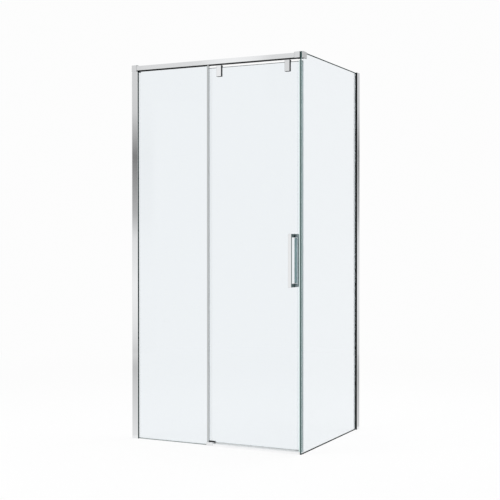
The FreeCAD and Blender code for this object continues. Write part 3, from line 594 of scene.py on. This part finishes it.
class Finishes:
    """Every finish of the enclosure, made once.

    Its lengths are the depth of the painted light at the back of the jamb's flanks, how far the painted
    shadow on the threshold comes out in front of the door's pane, and the width of the black lip on the
    return post's bead.
    """

    CHROME: Colour = (0.84, 0.85, 0.86)
    # Painted shade on chrome: undersides, hanger flanks, cap sides, block ends, handle flanks and the
    # handle's faces behind the door's pane.
    PAINTED_UNDERSIDE_SHADE: Colour = (0.025, 0.028, 0.03)
    PAINTED_HANGER_FLANK_SHADE: Colour = (0.09, 0.10, 0.105)
    PAINTED_CAP_SIDE_SHADE: Colour = (0.46, 0.47, 0.475)
    PAINTED_BLOCK_END_SHADE: Colour = (0.22, 0.23, 0.235)
    PAINTED_HANDLE_FLANK_SHADE: Colour = (0.17, 0.225, 0.23)
    PAINTED_SHADE_BEHIND_GLASS: Colour = (0.27, 0.415, 0.42)

    ALUMINIUM: Colour = (0.86, 0.87, 0.88)
    SATIN: Colour = (0.54, 0.56, 0.565)
    JAMB: Colour = (0.66, 0.80, 0.78)
    # Painted shade on the jamb's flanks, and painted light on the back part of them.
    PAINTED_JAMB_FLANK_SHADE: Colour = (0.25, 0.375, 0.37)
    PAINTED_JAMB_BACK_LIGHT: Colour = (0.82, 0.87, 0.87)
    JAMB_PAINTED_LIGHT_DEPTH: float = 7 * MM
    THRESHOLD: Colour = (0.96, 0.965, 0.97)
    # Painted shadow on the threshold's top, under and behind the door's pane.
    PAINTED_SILL_SHADOW: Colour = (0.50, 0.51, 0.515)
    SILL_FRONT: float = 0.5 * MM
    MILL: Colour = (0.70, 0.71, 0.72)
    STEEL: Colour = (0.62, 0.62, 0.63)

    RUBBER: Colour = (0.009, 0.010, 0.010)
    BEAD_LIP: float = 4.5 * MM

    # The edge tones are partly the glass's own green and partly painted shade and light: darker tones where
    # shade falls on an edge, the faint one where light comes through it.
    EDGES: dict[EdgeTone, tuple[Colour, Colour]] = {
        EdgeTone.DEEP: ((0.006, 0.024, 0.024), (0.012, 0.034, 0.034)),
        EdgeTone.MIDDLE: ((0.26, 0.385, 0.375), (0.32, 0.445, 0.440)),
        EdgeTone.PALE: ((0.16, 0.20, 0.195), (0.24, 0.28, 0.275)),
        EdgeTone.FAINT: ((0.80, 0.85, 0.86), (0.86, 0.90, 0.91))}

    def __init__(self) -> None:
        """Make the materials."""
        self.glass = ClearGlass().material()
        self.edges = {tone: GroundEdge(tone.value + "_green_edge", *colours).material()
                      for tone, colours in self.EDGES.items()}
        self._chrome()
        self._aluminium()
        self._moulded()

    def _chrome(self) -> None:
        """Make the plated finishes, with painted shade on their ends, flanks, undersides and the faces behind
        the glass.
        """
        # Each tone below paints shade on the faces that look its way; the cap's sides stay plated.
        under = Tone(Looking.DOWN, self.PAINTED_UNDERSIDE_SHADE)
        cap_side_shade = Tone(Looking.SIDEWAYS, self.PAINTED_CAP_SIDE_SHADE, Reach.ROUNDED, plated=True)
        hanger_flank_shade = Tone(Looking.SIDEWAYS, self.PAINTED_HANGER_FLANK_SHADE, Reach.ROUNDED)
        hanger_foot_shade = Tone(Looking.DOWN, self.PAINTED_UNDERSIDE_SHADE, Reach.ROUNDED)
        block_end_shade = Tone(Looking.SIDEWAYS, self.PAINTED_BLOCK_END_SHADE, Reach.ROUNDED)
        bow_flank_shade = Tone(Looking.SIDEWAYS, self.PAINTED_HANDLE_FLANK_SHADE)
        shade_behind_glass = Tone(Looking.FORWARD, self.PAINTED_SHADE_BEHIND_GLASS)

        def plated(name: str, run: Run, *tones: Tone) -> bpy.types.Material:
            """Make one plated finish."""
            return BrightMetal(name, self.CHROME, run, tones=tones).material()

        self.chrome = plated("chrome", Run.ALONG_X, under)
        self.cap_chrome = plated("cap_chrome", Run.UPRIGHT, cap_side_shade, under)
        self.hanger_chrome = plated("hanger_chrome", Run.UPRIGHT, hanger_flank_shade, hanger_foot_shade)
        self.block_chrome = plated("block_chrome", Run.ALONG_X, block_end_shade, under)
        self.outer_chrome = plated("outer_handle_chrome", Run.UPRIGHT, bow_flank_shade)
        self.inner_chrome = plated("inner_handle_chrome", Run.UPRIGHT, bow_flank_shade, shade_behind_glass)

    def _aluminium(self) -> None:
        """Make the drawn finishes, from mirror-bright to mill, and the steel of the screws; the rail, jamb
        and threshold carry painted shade and light.
        """
        # Painted shade on the rail's underside, run on round its rounded edges.
        rail_foot_shade = Tone(Looking.DOWN, self.PAINTED_UNDERSIDE_SHADE, Reach.ROLLED)
        # Painted shade on the jamb's flanks, with painted light on their back part.
        jamb_flank_shade = Tone(Looking.SIDEWAYS, self.PAINTED_JAMB_FLANK_SHADE)
        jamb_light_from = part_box("strike_jamb")[1].y - self.JAMB_PAINTED_LIGHT_DEPTH
        jamb_back_light = Tone(Looking.SIDEWAYS, self.PAINTED_JAMB_BACK_LIGHT, behind=jamb_light_from)
        # Painted shadow on the threshold's top, from just in front of the door's pane backwards.
        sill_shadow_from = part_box("door_glass")[0].y - self.SILL_FRONT
        sill = Tone(Looking.UP, self.PAINTED_SILL_SHADOW, Reach.ROUNDED, behind=sill_shadow_from)
        self.rail_metal = BrightMetal("rail_aluminium", self.ALUMINIUM, Run.ALONG_X, smooth=0.1, smeared=0.2,
                                      line_depth=0.02 * MM, tones=(rail_foot_shade,)).material()
        self.post_metal = BrightMetal("post_aluminium", self.ALUMINIUM, Run.UPRIGHT, smooth=0.05,
                                      smeared=0.07, line_depth=0.004 * MM).material()
        self.satin = BrightMetal("satin_aluminium", self.SATIN, Run.UPRIGHT, smooth=0.28, smeared=0.36,
                                 line_depth=0.03 * MM).material()
        self.jamb_metal = BrightMetal("jamb_aluminium", self.JAMB, Run.UPRIGHT, smooth=0.2, smeared=0.3,
                                      line_depth=0.03 * MM, tones=(jamb_flank_shade, jamb_back_light)).material()
        self.threshold_metal = BrightMetal("threshold_aluminium", self.THRESHOLD, Run.ALONG_X, smooth=0.34,
                                           smeared=0.42, line_depth=0.03 * MM, tones=(sill,)).material()
        self.mill = BrightMetal("plain_aluminium", self.MILL, Run.UPRIGHT, smooth=0.3, smeared=0.4,
                                line_depth=0.04 * MM).material()
        self.steel = BrightMetal("steel", self.STEEL, Run.ALONG_Y, smooth=0.25, smeared=0.35,
                                 line_depth=0.03 * MM).material()

    def _moulded(self) -> None:
        """Make the rubber, nylon, magnet and vinyl finishes."""
        lip_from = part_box("return_post_bead")[1].x - self.BEAD_LIP
        self.rubber = Moulded("black_rubber", self.RUBBER, (0.018, 0.020, 0.020), roughness=0.6,
                              gloss=0.0).material()
        self.green_rubber = Moulded("green_black_rubber", (0.005, 0.022, 0.019), (0.010, 0.030, 0.026),
                                    roughness=0.6, gloss=0.0).material()
        self.black_nylon = Moulded("black_nylon", (0.010, 0.010, 0.011), (0.020, 0.020, 0.021), roughness=0.5,
                                   gloss=0.05).material()
        self.white_nylon = Moulded("white_nylon", (0.74, 0.74, 0.72), (0.82, 0.82, 0.80),
                                   roughness=0.4).material()
        self.magnet = Moulded("magnet_strip", (0.05, 0.045, 0.04), (0.09, 0.085, 0.08),
                              roughness=0.6).material()
        self.vinyl = ClearVinyl().material()
        self.lipped_vinyl = Moulded("lipped_vinyl", (0.80, 0.84, 0.84), (0.86, 0.89, 0.89), roughness=0.5,
                                    gloss=0.1, lip=self.RUBBER, lip_from=lip_from).material()
        self.smoky_vinyl = Moulded("smoky_vinyl", (0.24, 0.27, 0.27), (0.30, 0.33, 0.33), roughness=0.5,
                                   gloss=0.1).material()


def dress(material: bpy.types.Material, *names: str) -> None:
    """Give nodes of the frame a finish.

    Args:
        material: The finish.
        names: The nodes' names.
    """
    for name in names:
        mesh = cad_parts[name].data
        mesh.materials.clear()
        mesh.materials.append(material)
        log.info("dressed %s in %s", name, material.name)


def node_shape(name: str) -> bmesh.types.BMesh:
    """Copy the mesh of a node of the frame, with the points that lie together made one.

    Args:
        name: The node's name.

    Returns:
        The copy, as a mesh in the making.
    """
    shape = bmesh.new()
    shape.from_mesh(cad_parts[name].data)
    bmesh.ops.remove_doubles(shape, verts=shape.verts, dist=WELD)
    return shape


def finished(name: str, shape: bmesh.types.BMesh) -> bpy.types.Object:
    """Turn a mesh in the making into a smooth object.

    Args:
        name: The piece's name.
        shape: The mesh in the making, which is freed.

    Returns:
        The object, in the scene.
    """
    mesh = bpy.data.meshes.new(name)
    shape.to_mesh(mesh)
    shape.free()
    if "custom_normal" in mesh.attributes:
        mesh.attributes.remove(mesh.attributes["custom_normal"])
    mesh.shade_smooth()
    mesh.set_sharp_from_angle(angle=SHARP_ANGLE)
    made = bpy.data.objects.new(name, mesh)
    bpy.context.scene.collection.objects.link(made)
    return made


def solid_boxes(name: str) -> list[tuple[Vector, Vector]]:
    """Find the boxes of the separate solids in a node of the frame.

    Args:
        name: The node's name.

    Returns:
        Lowest and highest corners of each solid.
    """
    shape = node_shape(name)
    left = set(shape.verts)
    boxes = []
    while left:
        found = []
        queue = [min(left, key=lambda vert: vert.index)]
        left.discard(queue[0])
        while queue:
            vert = queue.pop()
            found.append(vert.co.copy())
            for edge in vert.link_edges:
                other = edge.other_vert(vert)
                if other in left:
                    left.discard(other)
                    queue.append(other)
        low = Vector([min(point[axis] for point in found) for axis in Axis])
        high = Vector([max(point[axis] for point in found) for axis in Axis])
        boxes.append((low, high))
    shape.free()
    return sorted(boxes, key=lambda pair: tuple(pair[0]))


@dataclass
class GlassPane:
    """A pane with clear broad faces and ground edges, made on its node's outline and holes.

    Its broad faces lie a hair inside the node's, so that the strips and pads on them show through the glass.
    The edge's tone may run on over the broad faces as a narrow band along the head and the foot: a painted
    reflection of the edge seen through the glass.
    """

    node: str
    body: str
    facing: Axis
    edge: EdgeTone
    foot: EdgeTone
    arris: EdgeTone
    painted_head_reflection: float = 0.0
    painted_foot_reflection: float = 0.0
    broad_from: float = 0.9
    turned_from: float = 0.3
    relief: float = 0.05 * MM

    def build(self, finishes: Finishes) -> None:
        """Make the pane, which lets lamp light through without a hard shadow.

        Args:
            finishes: The finishes of the enclosure.
        """
        shape = node_shape(self.node)
        low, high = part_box(self.node)
        middle = (low[self.facing] + high[self.facing]) / 2
        for vert in shape.verts:
            vert.co[self.facing] += math.copysign(self.relief, middle - vert.co[self.facing])
        foot, head = low.z + self.painted_foot_reflection, high.z - self.painted_head_reflection
        for height in (foot, head):
            bmesh.ops.bisect_plane(shape, geom=[*shape.verts, *shape.edges, *shape.faces],
                                   plane_co=(0.0, 0.0, height), plane_no=(0.0, 0.0, 1.0))
        shape.normal_update()
        for face in shape.faces:
            face.material_index = self._zone(face, foot, head)
        pane = finished(self.node + "_pane", shape)
        pane.data.materials.append(finishes.glass)
        for tone in (self.edge, self.foot, self.arris):
            pane.data.materials.append(finishes.edges[tone])
        pane.visible_shadow = False
        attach(pane, self.body)
        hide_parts(self.node)
        log.info("made %s", pane.name)

    def _zone(self, face: bmesh.types.BMFace, foot: float, head: float) -> int:
        """Find which finish a face of the pane has.

        Args:
            face: The face.
            foot: The height that the painted reflection along the foot reaches.
            head: The height that the painted reflection along the head begins at.

        Returns:
            0 for clear glass, 1 for an edge or a painted reflection band, 2 for the foot and 3 for an upright
            arris on the +X or +Y side.
        """
        broad = face.normal[self.facing]
        if abs(broad) > self.broad_from:
            # Broad faces beyond the two heights take the edge's tone, as a painted reflection of the edge.
            return 0 if foot < face.calc_center_median().z < head else 1
        if face.normal.z < -self.turned_from:
            return 2
        return 3 if broad > self.turned_from > abs(face.normal.z) else 1


@dataclass
class GlassPanes:
    """The fixed pane, the return pane and the door's pane."""

    panes: list[GlassPane] = field(default_factory=lambda: [
        GlassPane("front_glass", "frame", Axis.Y, EdgeTone.PALE, EdgeTone.FAINT, EdgeTone.PALE),
        # The return pane carries painted reflections of its edge along its head and foot.
        GlassPane("return_glass", "frame", Axis.X, EdgeTone.DEEP, EdgeTone.DEEP, EdgeTone.MIDDLE,
                  painted_head_reflection=5.5 * MM, painted_foot_reflection=2 * MM),
        GlassPane("door_glass", "door", Axis.Y, EdgeTone.PALE, EdgeTone.FAINT, EdgeTone.PALE)])

    def build(self, finishes: Finishes) -> None:
        """Make the three panes."""
        for pane in self.panes:
            pane.build(finishes)


@dataclass
class SocketScrews:
    """The screws of one node, turned ring by ring in the same places and sizes, with hexagon sockets.

    Each screw's axis is the shortest of the ways that its set allows, given as an axis and the sign of its
    outer end. The chamfer is a part of the shank's radius, and the socket's mouth of half the socket's width.
    """

    node: str
    body: str
    ways: dict[Axis, int]
    shank_radius: float
    across_flats: float
    socket_depth: float
    head_radius: float = 0.0
    head_height: float = 0.0
    dome: float = 0.0
    chamfer_part: float = 0.1
    mouth_width: float = 1.04
    mouth_depth: float = 0.08
    segments: int = 48
    dome_steps: int = 5

    def build(self, finishes: Finishes) -> None:
        """Make one piece with all screws of the set.

        Args:
            finishes: The finishes of the enclosure.
        """
        shape = bmesh.new()
        for low, high in solid_boxes(self.node):
            self._turn(shape, low, high)
        bmesh.ops.recalc_face_normals(shape, faces=shape.faces)
        screws = finished(self.node + "_turned", shape)
        screws.data.materials.append(finishes.steel)
        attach(screws, self.body)
        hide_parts(self.node)
        log.info("made %s", screws.name)

    def _rings(self, length: float) -> list[Ring]:
        """List a screw's rings from the shank's tip to the socket's floor.

        Args:
            length: The length of the whole screw.

        Returns:
            Radius or half the distance across flats, depth under the outer end, and whether it is a hexagon.
        """
        chamfer = self.shank_radius * self.chamfer_part
        rings: list[Ring] = [(self.shank_radius - chamfer, length, False),
                             (self.shank_radius, length - chamfer, False)]
        if self.head_height > 0:
            rings.append((self.shank_radius, self.head_height, False))
            rings.append((self.head_radius, self.head_height, False))
            for step in range(self.dome_steps + 1):
                angle = math.pi / 2 * step / self.dome_steps
                rings.append((self.head_radius - self.dome * (1 - math.cos(angle)),
                              self.dome * (1 - math.sin(angle)), False))
        else:
            rings.append((self.shank_radius, chamfer, False))
            rings.append((self.shank_radius - chamfer, 0.0, False))
        half = self.across_flats / 2
        rings.append((half * self.mouth_width, 0.0, True))
        rings.append((half, half * self.mouth_depth, True))
        rings.append((half, self.socket_depth, True))
        return rings

    def _turn(self, shape: bmesh.types.BMesh, low: Vector, high: Vector) -> None:
        """Add one screw to a mesh, in the box that its solid fills.

        Args:
            shape: The mesh in the making.
            low: The box's lowest corner.
            high: The box's highest corner.
        """
        axis = min(self.ways, key=lambda way: high[way] - low[way])
        sign = self.ways[axis]
        outer = (low + high) / 2
        outer[axis] = high[axis] if sign > 0 else low[axis]
        first_way, second_way = [way for way in Axis if way != axis]
        loops = []
        for radius, depth, hexagon in self._rings(high[axis] - low[axis]):
            loop = []
            for i in range(self.segments):
                angle = 2 * math.pi * i / self.segments
                from_flat = (angle + HALF_FLAT) % (2 * HALF_FLAT) - HALF_FLAT
                reach = radius / math.cos(from_flat) if hexagon else radius
                point = outer.copy()
                point[axis] -= sign * depth
                point[first_way] += reach * math.cos(angle)
                point[second_way] += reach * math.sin(angle)
                loop.append(shape.verts.new(point))
            loops.append(loop)
        for first, second in zip(loops, loops[1:]):
            for i in range(self.segments):
                j = (i + 1) % self.segments
                shape.faces.new((first[i], first[j], second[j], second[i]))
        shape.faces.new(loops[0])
        shape.faces.new(loops[-1])


@dataclass
class Hardware:
    """The screws that show: bolts of the hangers, locking screws of the posts and the stop's screw."""

    sets: list[SocketScrews] = field(default_factory=lambda: [
        SocketScrews("clamp_bolts", "door", {Axis.Y: 1}, shank_radius=4 * MM, across_flats=5 * MM,
                     socket_depth=2.6 * MM, head_radius=6.5 * MM, head_height=3.6 * MM, dome=2 * MM),
        SocketScrews("post_lock_screws", "frame", {Axis.X: -1, Axis.Y: 1}, shank_radius=2.5 * MM,
                     across_flats=2.5 * MM, socket_depth=1.4 * MM),
        SocketScrews("stop_screw", "frame", {Axis.Z: 1}, shank_radius=2.5 * MM, across_flats=2.5 * MM,
                     socket_depth=2.5 * MM)])

    def build(self, finishes: Finishes) -> None:
        """Make each set."""
        for screws in self.sets:
            screws.build(finishes)


@dataclass
class WallPosts:
    """The two wall posts with their channels, glazing strips and the plug in one of them.

    The front strip's lip is pressed out beyond its post.
    """

    strip: str = "front_post_gaskets"
    lip_bulge: float = 1.0 * MM
    end_depth: float = 0.01 * MM

    def build(self, finishes: Finishes) -> None:
        """Make the front strip and dress the posts.

        Args:
            finishes: The finishes of the enclosure.
        """
        self._front_strip(finishes)
        dress(finishes.post_metal, "front_glass_post", "return_glass_post")
        dress(finishes.mill, "front_wall_channel", "return_wall_channel")
        dress(finishes.rubber, "return_post_gaskets")
        dress(finishes.vinyl, "front_post_bead")
        dress(finishes.lipped_vinyl, "return_post_bead")
        dress(finishes.black_nylon, "return_post_plug")

    def _front_strip(self, finishes: Finishes) -> None:
        """Make the strip outside the fixed pane, with its lip.

        Args:
            finishes: The finishes of the enclosure.
        """
        shape = node_shape(self.strip)
        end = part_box(self.strip)[1].x
        for vert in shape.verts:
            if end - vert.co.x < self.end_depth:
                vert.co.x += self.lip_bulge
        strip = finished(self.strip + "_lipped", shape)
        strip.data.materials.append(finishes.green_rubber)
        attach(strip, "frame")
        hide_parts(self.strip)
        log.info("made %s", strip.name)


@dataclass
class HeaderRail:
    """The rail with its end blocks, gasket, groove cover, stop and buffers."""

    def build(self, finishes: Finishes) -> None:
        """Dress the rail.

        Args:
            finishes: The finishes of the enclosure.
        """
        dress(finishes.rail_metal, "header_rail")
        dress(finishes.black_nylon, "rail_groove_cover")
        dress(finishes.block_chrome, "rail_wall_block", "rail_corner_block")
        dress(finishes.rubber, "rail_glass_gasket", "rail_buffers")
        dress(finishes.mill, "rail_stop")


@dataclass
class CornerClamp:
    """The clamp on the return pane's corner."""

    def build(self, finishes: Finishes) -> None:
        """Dress the cap and its gaskets."""
        dress(finishes.cap_chrome, "corner_cap")
        dress(finishes.rubber, "corner_inner_gasket", "corner_outer_gasket")


@dataclass
class DoorHangers:
    """The hangers with their clamps, pads, studs and rolling gear."""

    sides: tuple[str, str] = ("left", "right")
    places: tuple[str, str] = ("a", "b")

    def build(self, finishes: Finishes) -> None:
        """Dress the hangers and what runs in the rail.

        Args:
            finishes: The finishes of the enclosure.
        """
        dress(finishes.rubber, "hanger_pads")
        dress(finishes.steel, "hanger_studs")
        for side in self.sides:
            dress(finishes.hanger_chrome, f"hanger_{side}", f"clamp_{side}")
            dress(finishes.steel, f"carriage_{side}")
            dress(finishes.white_nylon, *[f"wheelset_{side}_{place}" for place in self.places])


@dataclass
class DoorHandle:
    """The square handle on both faces of the door."""

    def build(self, finishes: Finishes) -> None:
        """Dress the two bows and their pads.

        Args:
            finishes: The finishes of the enclosure.
        """
        dress(finishes.outer_chrome, "handle_outer")
        dress(finishes.inner_chrome, "handle_inner")
        dress(finishes.rubber, "handle_pads")


@dataclass
class DoorSeals:
    """The door's seal and magnet, the jamb that it meets, the edge profile and the sill strips."""

    def build(self, finishes: Finishes) -> None:
        """Dress the strips.

        Args:
            finishes: The finishes of the enclosure.
        """
        dress(finishes.vinyl, "door_seal", "front_edge_wiper")
        dress(finishes.smoky_vinyl, "front_sill_seal")
        dress(finishes.rubber, "return_sill_seal")
        dress(finishes.magnet, "door_magnet", "strike_magnet")
        dress(finishes.jamb_metal, "strike_jamb")
        dress(finishes.satin, "front_edge_profile")


@dataclass
class FloorGuide:
    """The threshold under the door and the guide at its foot."""

    def build(self, finishes: Finishes) -> None:
        """Dress the threshold and the guide.

        Args:
            finishes: The finishes of the enclosure.
        """
        dress(finishes.threshold_metal, "threshold_bar")
        dress(finishes.chrome, "guide_base")
        dress(finishes.black_nylon, "guide_insert")


@dataclass
class Flat:
    """A studio panel that only reflections see, with a grey that changes from foot to head or across.

    Its stops are places from 0 to 1 with their greys, which may all be shaded. Its side fade is a part of
    half its width, and its head fade of its height.
    """

    name: str
    foot: Vector
    width: float
    height: float
    greys: Stops
    fade: float
    shade: float = 1.0
    head_fade: float = 0.0
    across: bool = False

    def build(self, target: Vector) -> None:
        """Stand the panel upright, facing a point.

        Args:
            target: The point that it faces.
        """
        half = self.width / 2
        mesh = bpy.data.meshes.new(self.name)
        corners = [(-half, 0, 0), (half, 0, 0), (half, 0, self.height), (-half, 0, self.height)]
        mesh.from_pydata(corners, [], [(0, 1, 2, 3)])
        panel = bpy.data.objects.new(self.name, mesh)
        panel.location = self.foot
        aim = target - self.foot
        panel.rotation_euler = (0, 0, math.atan2(aim.y, aim.x) + math.pi / 2)
        bpy.context.scene.collection.objects.link(panel)
        panel.visible_camera = False
        panel.visible_diffuse = False
        panel.visible_transmission = False
        panel.visible_shadow = False
        mesh.materials.append(self._material())
        panel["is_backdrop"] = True

    def _material(self) -> bpy.types.Material:
        """Make the panel's glow, a grey by place that fades out towards both sides and may towards its head.

        Returns:
            The material.
        """
        material, tree = bare_material(self.name)
        place = tree.split(Reading.PLACE)
        middle = 0.5
        if self.across:
            share = tree.math("ADD", tree.math("DIVIDE", place[Axis.X], self.width), middle)
        else:
            share = tree.math("DIVIDE", place[Axis.Z], self.height)
        ramp = tree.add("ShaderNodeValToRGB", {"Fac": share})
        elements = ramp.color_ramp.elements
        while len(elements) < len(self.greys):
            elements.new(middle)
        for element, (at, grey) in zip(elements, self.greys):
            shaded = self.shade * grey
            element.position = at
            element.color = (shaded, shaded, shaded, 1.0)
        glow = tree.add("ShaderNodeEmission", {"Color": ramp.outputs["Color"]})
        aside = tree.math("DIVIDE", tree.math("ABSOLUTE", place[Axis.X]), self.width / 2)
        cover = tree.spread(aside, start=1.0, end=1.0 - self.fade, smooth=True)
        if self.head_fade:
            head = tree.spread(share, start=1.0, end=1.0 - self.head_fade, smooth=True)
            cover = tree.math("MULTIPLY", cover, head)
        tree.show("ShaderNodeOutputMaterial", cover, tree.add("ShaderNodeBsdfTransparent"), glow)
        return material


def grey_flats() -> list[Flat]:
    """List the panels, in front to the left and behind to the right, that the bright metal mirrors.

    Returns:
        The panels.
    """
    post_greys = ((0.0, 0.85), (0.19, 0.66), (0.28, 0.9), (0.36, 1.0), (0.46, 0.85), (0.51, 0.51),
                  (0.63, 0.24), (0.72, 0.7), (1.0, 0.92))
    post_foot_greys = ((0.0, 0.88), (0.66, 0.62), (0.82, 0.66), (1.0, 0.85))
    rail_greys = ((0.3, 0.83), (0.315, 0.76), (0.345, 1.0), (0.46, 1.0), (0.505, 0.83))
    return_foot_greys = ((0.0, 0.7), (0.72, 0.5), (1.0, 0.63))
    return [
        Flat("post_flat", foot=Vector((-2.72, -3.92, -1.0)), width=0.4, height=4.5,
             greys=post_greys, fade=0.5),
        Flat("post_foot_flat", foot=Vector((-0.523, -0.4594, 0.0)), width=0.036, height=0.56,
             greys=post_foot_greys, fade=0.1, head_fade=0.36),
        Flat("rail_flat", foot=Vector((-2.2, -4.2, 2.35)), width=3.6, height=1.0,
             greys=rail_greys, fade=0.1, across=True),
        Flat("return_flat", foot=Vector((1.771, 3.81, -1.0)), width=0.07, height=4.5,
             greys=post_greys, fade=0.3, shade=0.84),
        Flat("return_foot_flat", foot=Vector((0.5279, 0.464, 0.0)), width=0.015, height=0.41,
             greys=return_foot_greys, fade=0.1)]


@dataclass
class Studio:
    """The floor, the white surround, the soft lamps, the grey flats and the camera."""

    bounces: int = 32
    glossy_bounces: int = 8
    floor_radius: float = 30.0
    floor_segments: int = 96
    floor_drop: float = 0.5 * MM
    floor_colour: Colour = (0.9, 0.9, 0.9)
    floor_lift: float = 0.86
    plain_radius: float = 1.2
    white_radius: float = 4.5
    white: tuple[float, ...] = (1.0, 1.0, 1.0, 1.0)
    seen_white: float = 0.98
    ambient: float = 0.66
    lamp_size: float = 3.0
    lamp_power: float = 130.0
    key_lamp: Vector = field(default_factory=lambda: Vector((-3.0, -4.0, 4.0)))
    top_lamp: Vector = field(default_factory=lambda: Vector((1.5, 1.0, 5.0)))
    target: Vector = field(default_factory=lambda: Vector((0.0, 0.0, 1.0)))
    flats: list[Flat] = field(default_factory=grey_flats)
    focal_px: float = 1046.7
    image_px: float = 500.0
    sensor_mm: float = 36.0
    yaw_deg: float = 26.30
    pitch_deg: float = 0.69
    camera_from_corner: Vector = field(default_factory=lambda: Vector((3.058, -4.757, 1.079)))

    def build(self) -> None:
        """Set up the whole studio, piece by piece."""
        self._view()
        self._surround()
        self._floor()
        self._lamp("key_lamp", self.key_lamp)
        self._lamp("top_lamp", self.top_lamp)
        for flat in self.flats:
            flat.build(self.target)
        self._camera()

    def _view(self) -> None:
        """Set plain colours, and enough bounces for several panes one behind another."""
        scene = bpy.context.scene
        scene.view_settings.view_transform = "Standard"
        scene.cycles.max_bounces = self.bounces
        scene.cycles.transmission_bounces = self.bounces
        scene.cycles.glossy_bounces = self.glossy_bounces

    @staticmethod
    def _seen(tree: Tree) -> Socket:
        """Find whether a ray comes from the camera, a reflection or through glass.

        Args:
            tree: The tree that asks.

        Returns:
            A mask that is 1 for those rays.
        """
        path = tree.add("ShaderNodeLightPath").outputs
        seen = tree.math("MAXIMUM", path["Is Camera Ray"], path["Is Glossy Ray"])
        return tree.math("MAXIMUM", seen, path["Is Transmission Ray"])

    def _surround(self) -> None:
        """Make a white surround to look at, and a softer one that lights the object."""
        world = bpy.data.worlds.new("surround")
        bpy.context.scene.world = world
        world.use_nodes = True
        world.node_tree.nodes.clear()
        tree = Tree(world.node_tree)
        backgrounds = [tree.add("ShaderNodeBackground", {"Color": self.white, "Strength": strength})
                       for strength in (self.ambient, self.seen_white)]
        tree.show("ShaderNodeOutputWorld", self._seen(tree), *backgrounds)

    def _floor(self) -> None:
        """Lay a pale round floor that keeps the object's shadow and turns white far out."""
        shape = bmesh.new()
        bmesh.ops.create_circle(shape, cap_ends=True, radius=self.floor_radius, segments=self.floor_segments)
        floor = finished("floor", shape)
        floor.location.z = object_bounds()[0][2] - self.floor_drop
        material, tree = bare_material("pale_floor")
        matt = tree.add("ShaderNodeBsdfDiffuse", {"Color": (*self.floor_colour, 1.0)})
        white = tree.add("ShaderNodeEmission", {"Strength": self.seen_white})
        far = tree.add("ShaderNodeVectorMath", {0: tree.surface(Reading.PLACE)}, operation="LENGTH")
        lift = tree.spread(far.outputs["Value"], low=self.floor_lift, start=self.plain_radius,
                           end=self.white_radius, smooth=True)
        tree.show("ShaderNodeOutputMaterial", tree.math("MULTIPLY", self._seen(tree), lift), matt, white)
        floor.data.materials.append(material)
        floor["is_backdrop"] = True

    def _lamp(self, name: str, place: Vector) -> None:
        """Hang a soft lamp that no reflection shows.

        Args:
            name: The lamp's name.
            place: Where it hangs.
        """
        lamp = bpy.data.lights.new(name, "AREA")
        lamp.size = self.lamp_size
        lamp.energy = self.lamp_power
        holder = bpy.data.objects.new(name, lamp)
        holder.location = place
        holder.rotation_euler = (self.target - place).to_track_quat("-Z", "Y").to_euler()
        holder.visible_glossy = False
        holder.visible_transmission = False
        bpy.context.scene.collection.objects.link(holder)

    def _camera(self) -> None:
        """Set the photograph's view, measured from the left wall, the front plane and the floor."""
        lens = bpy.data.cameras.new("camera")
        lens.sensor_width = self.sensor_mm
        lens.lens = self.focal_px / self.image_px * self.sensor_mm
        camera = bpy.data.objects.new("camera", lens)
        corner = Vector((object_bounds()[0][0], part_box("return_glass")[0].y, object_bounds()[0][2]))
        camera.location = corner + self.camera_from_corner
        camera.rotation_euler = (math.radians(90 - self.pitch_deg), 0.0, math.radians(self.yaw_deg))
        bpy.context.scene.collection.objects.link(camera)
        bpy.context.scene.camera = camera


def main() -> None:
    """Dress the enclosure, sub-assembly by sub-assembly, and set up the studio round it."""
    logging.basicConfig(level=logging.INFO)
    SharedEffects.build()
    finishes = Finishes()
    for assembly in (GlassPanes(), WallPosts(), HeaderRail(), CornerClamp(), DoorHangers(), DoorHandle(),
                     DoorSeals(), FloorGuide(), Hardware()):
        assembly.build(finishes)
        log.info("built %s", type(assembly).__name__)
    Studio().build()


if __name__ == "__main__":
    main()
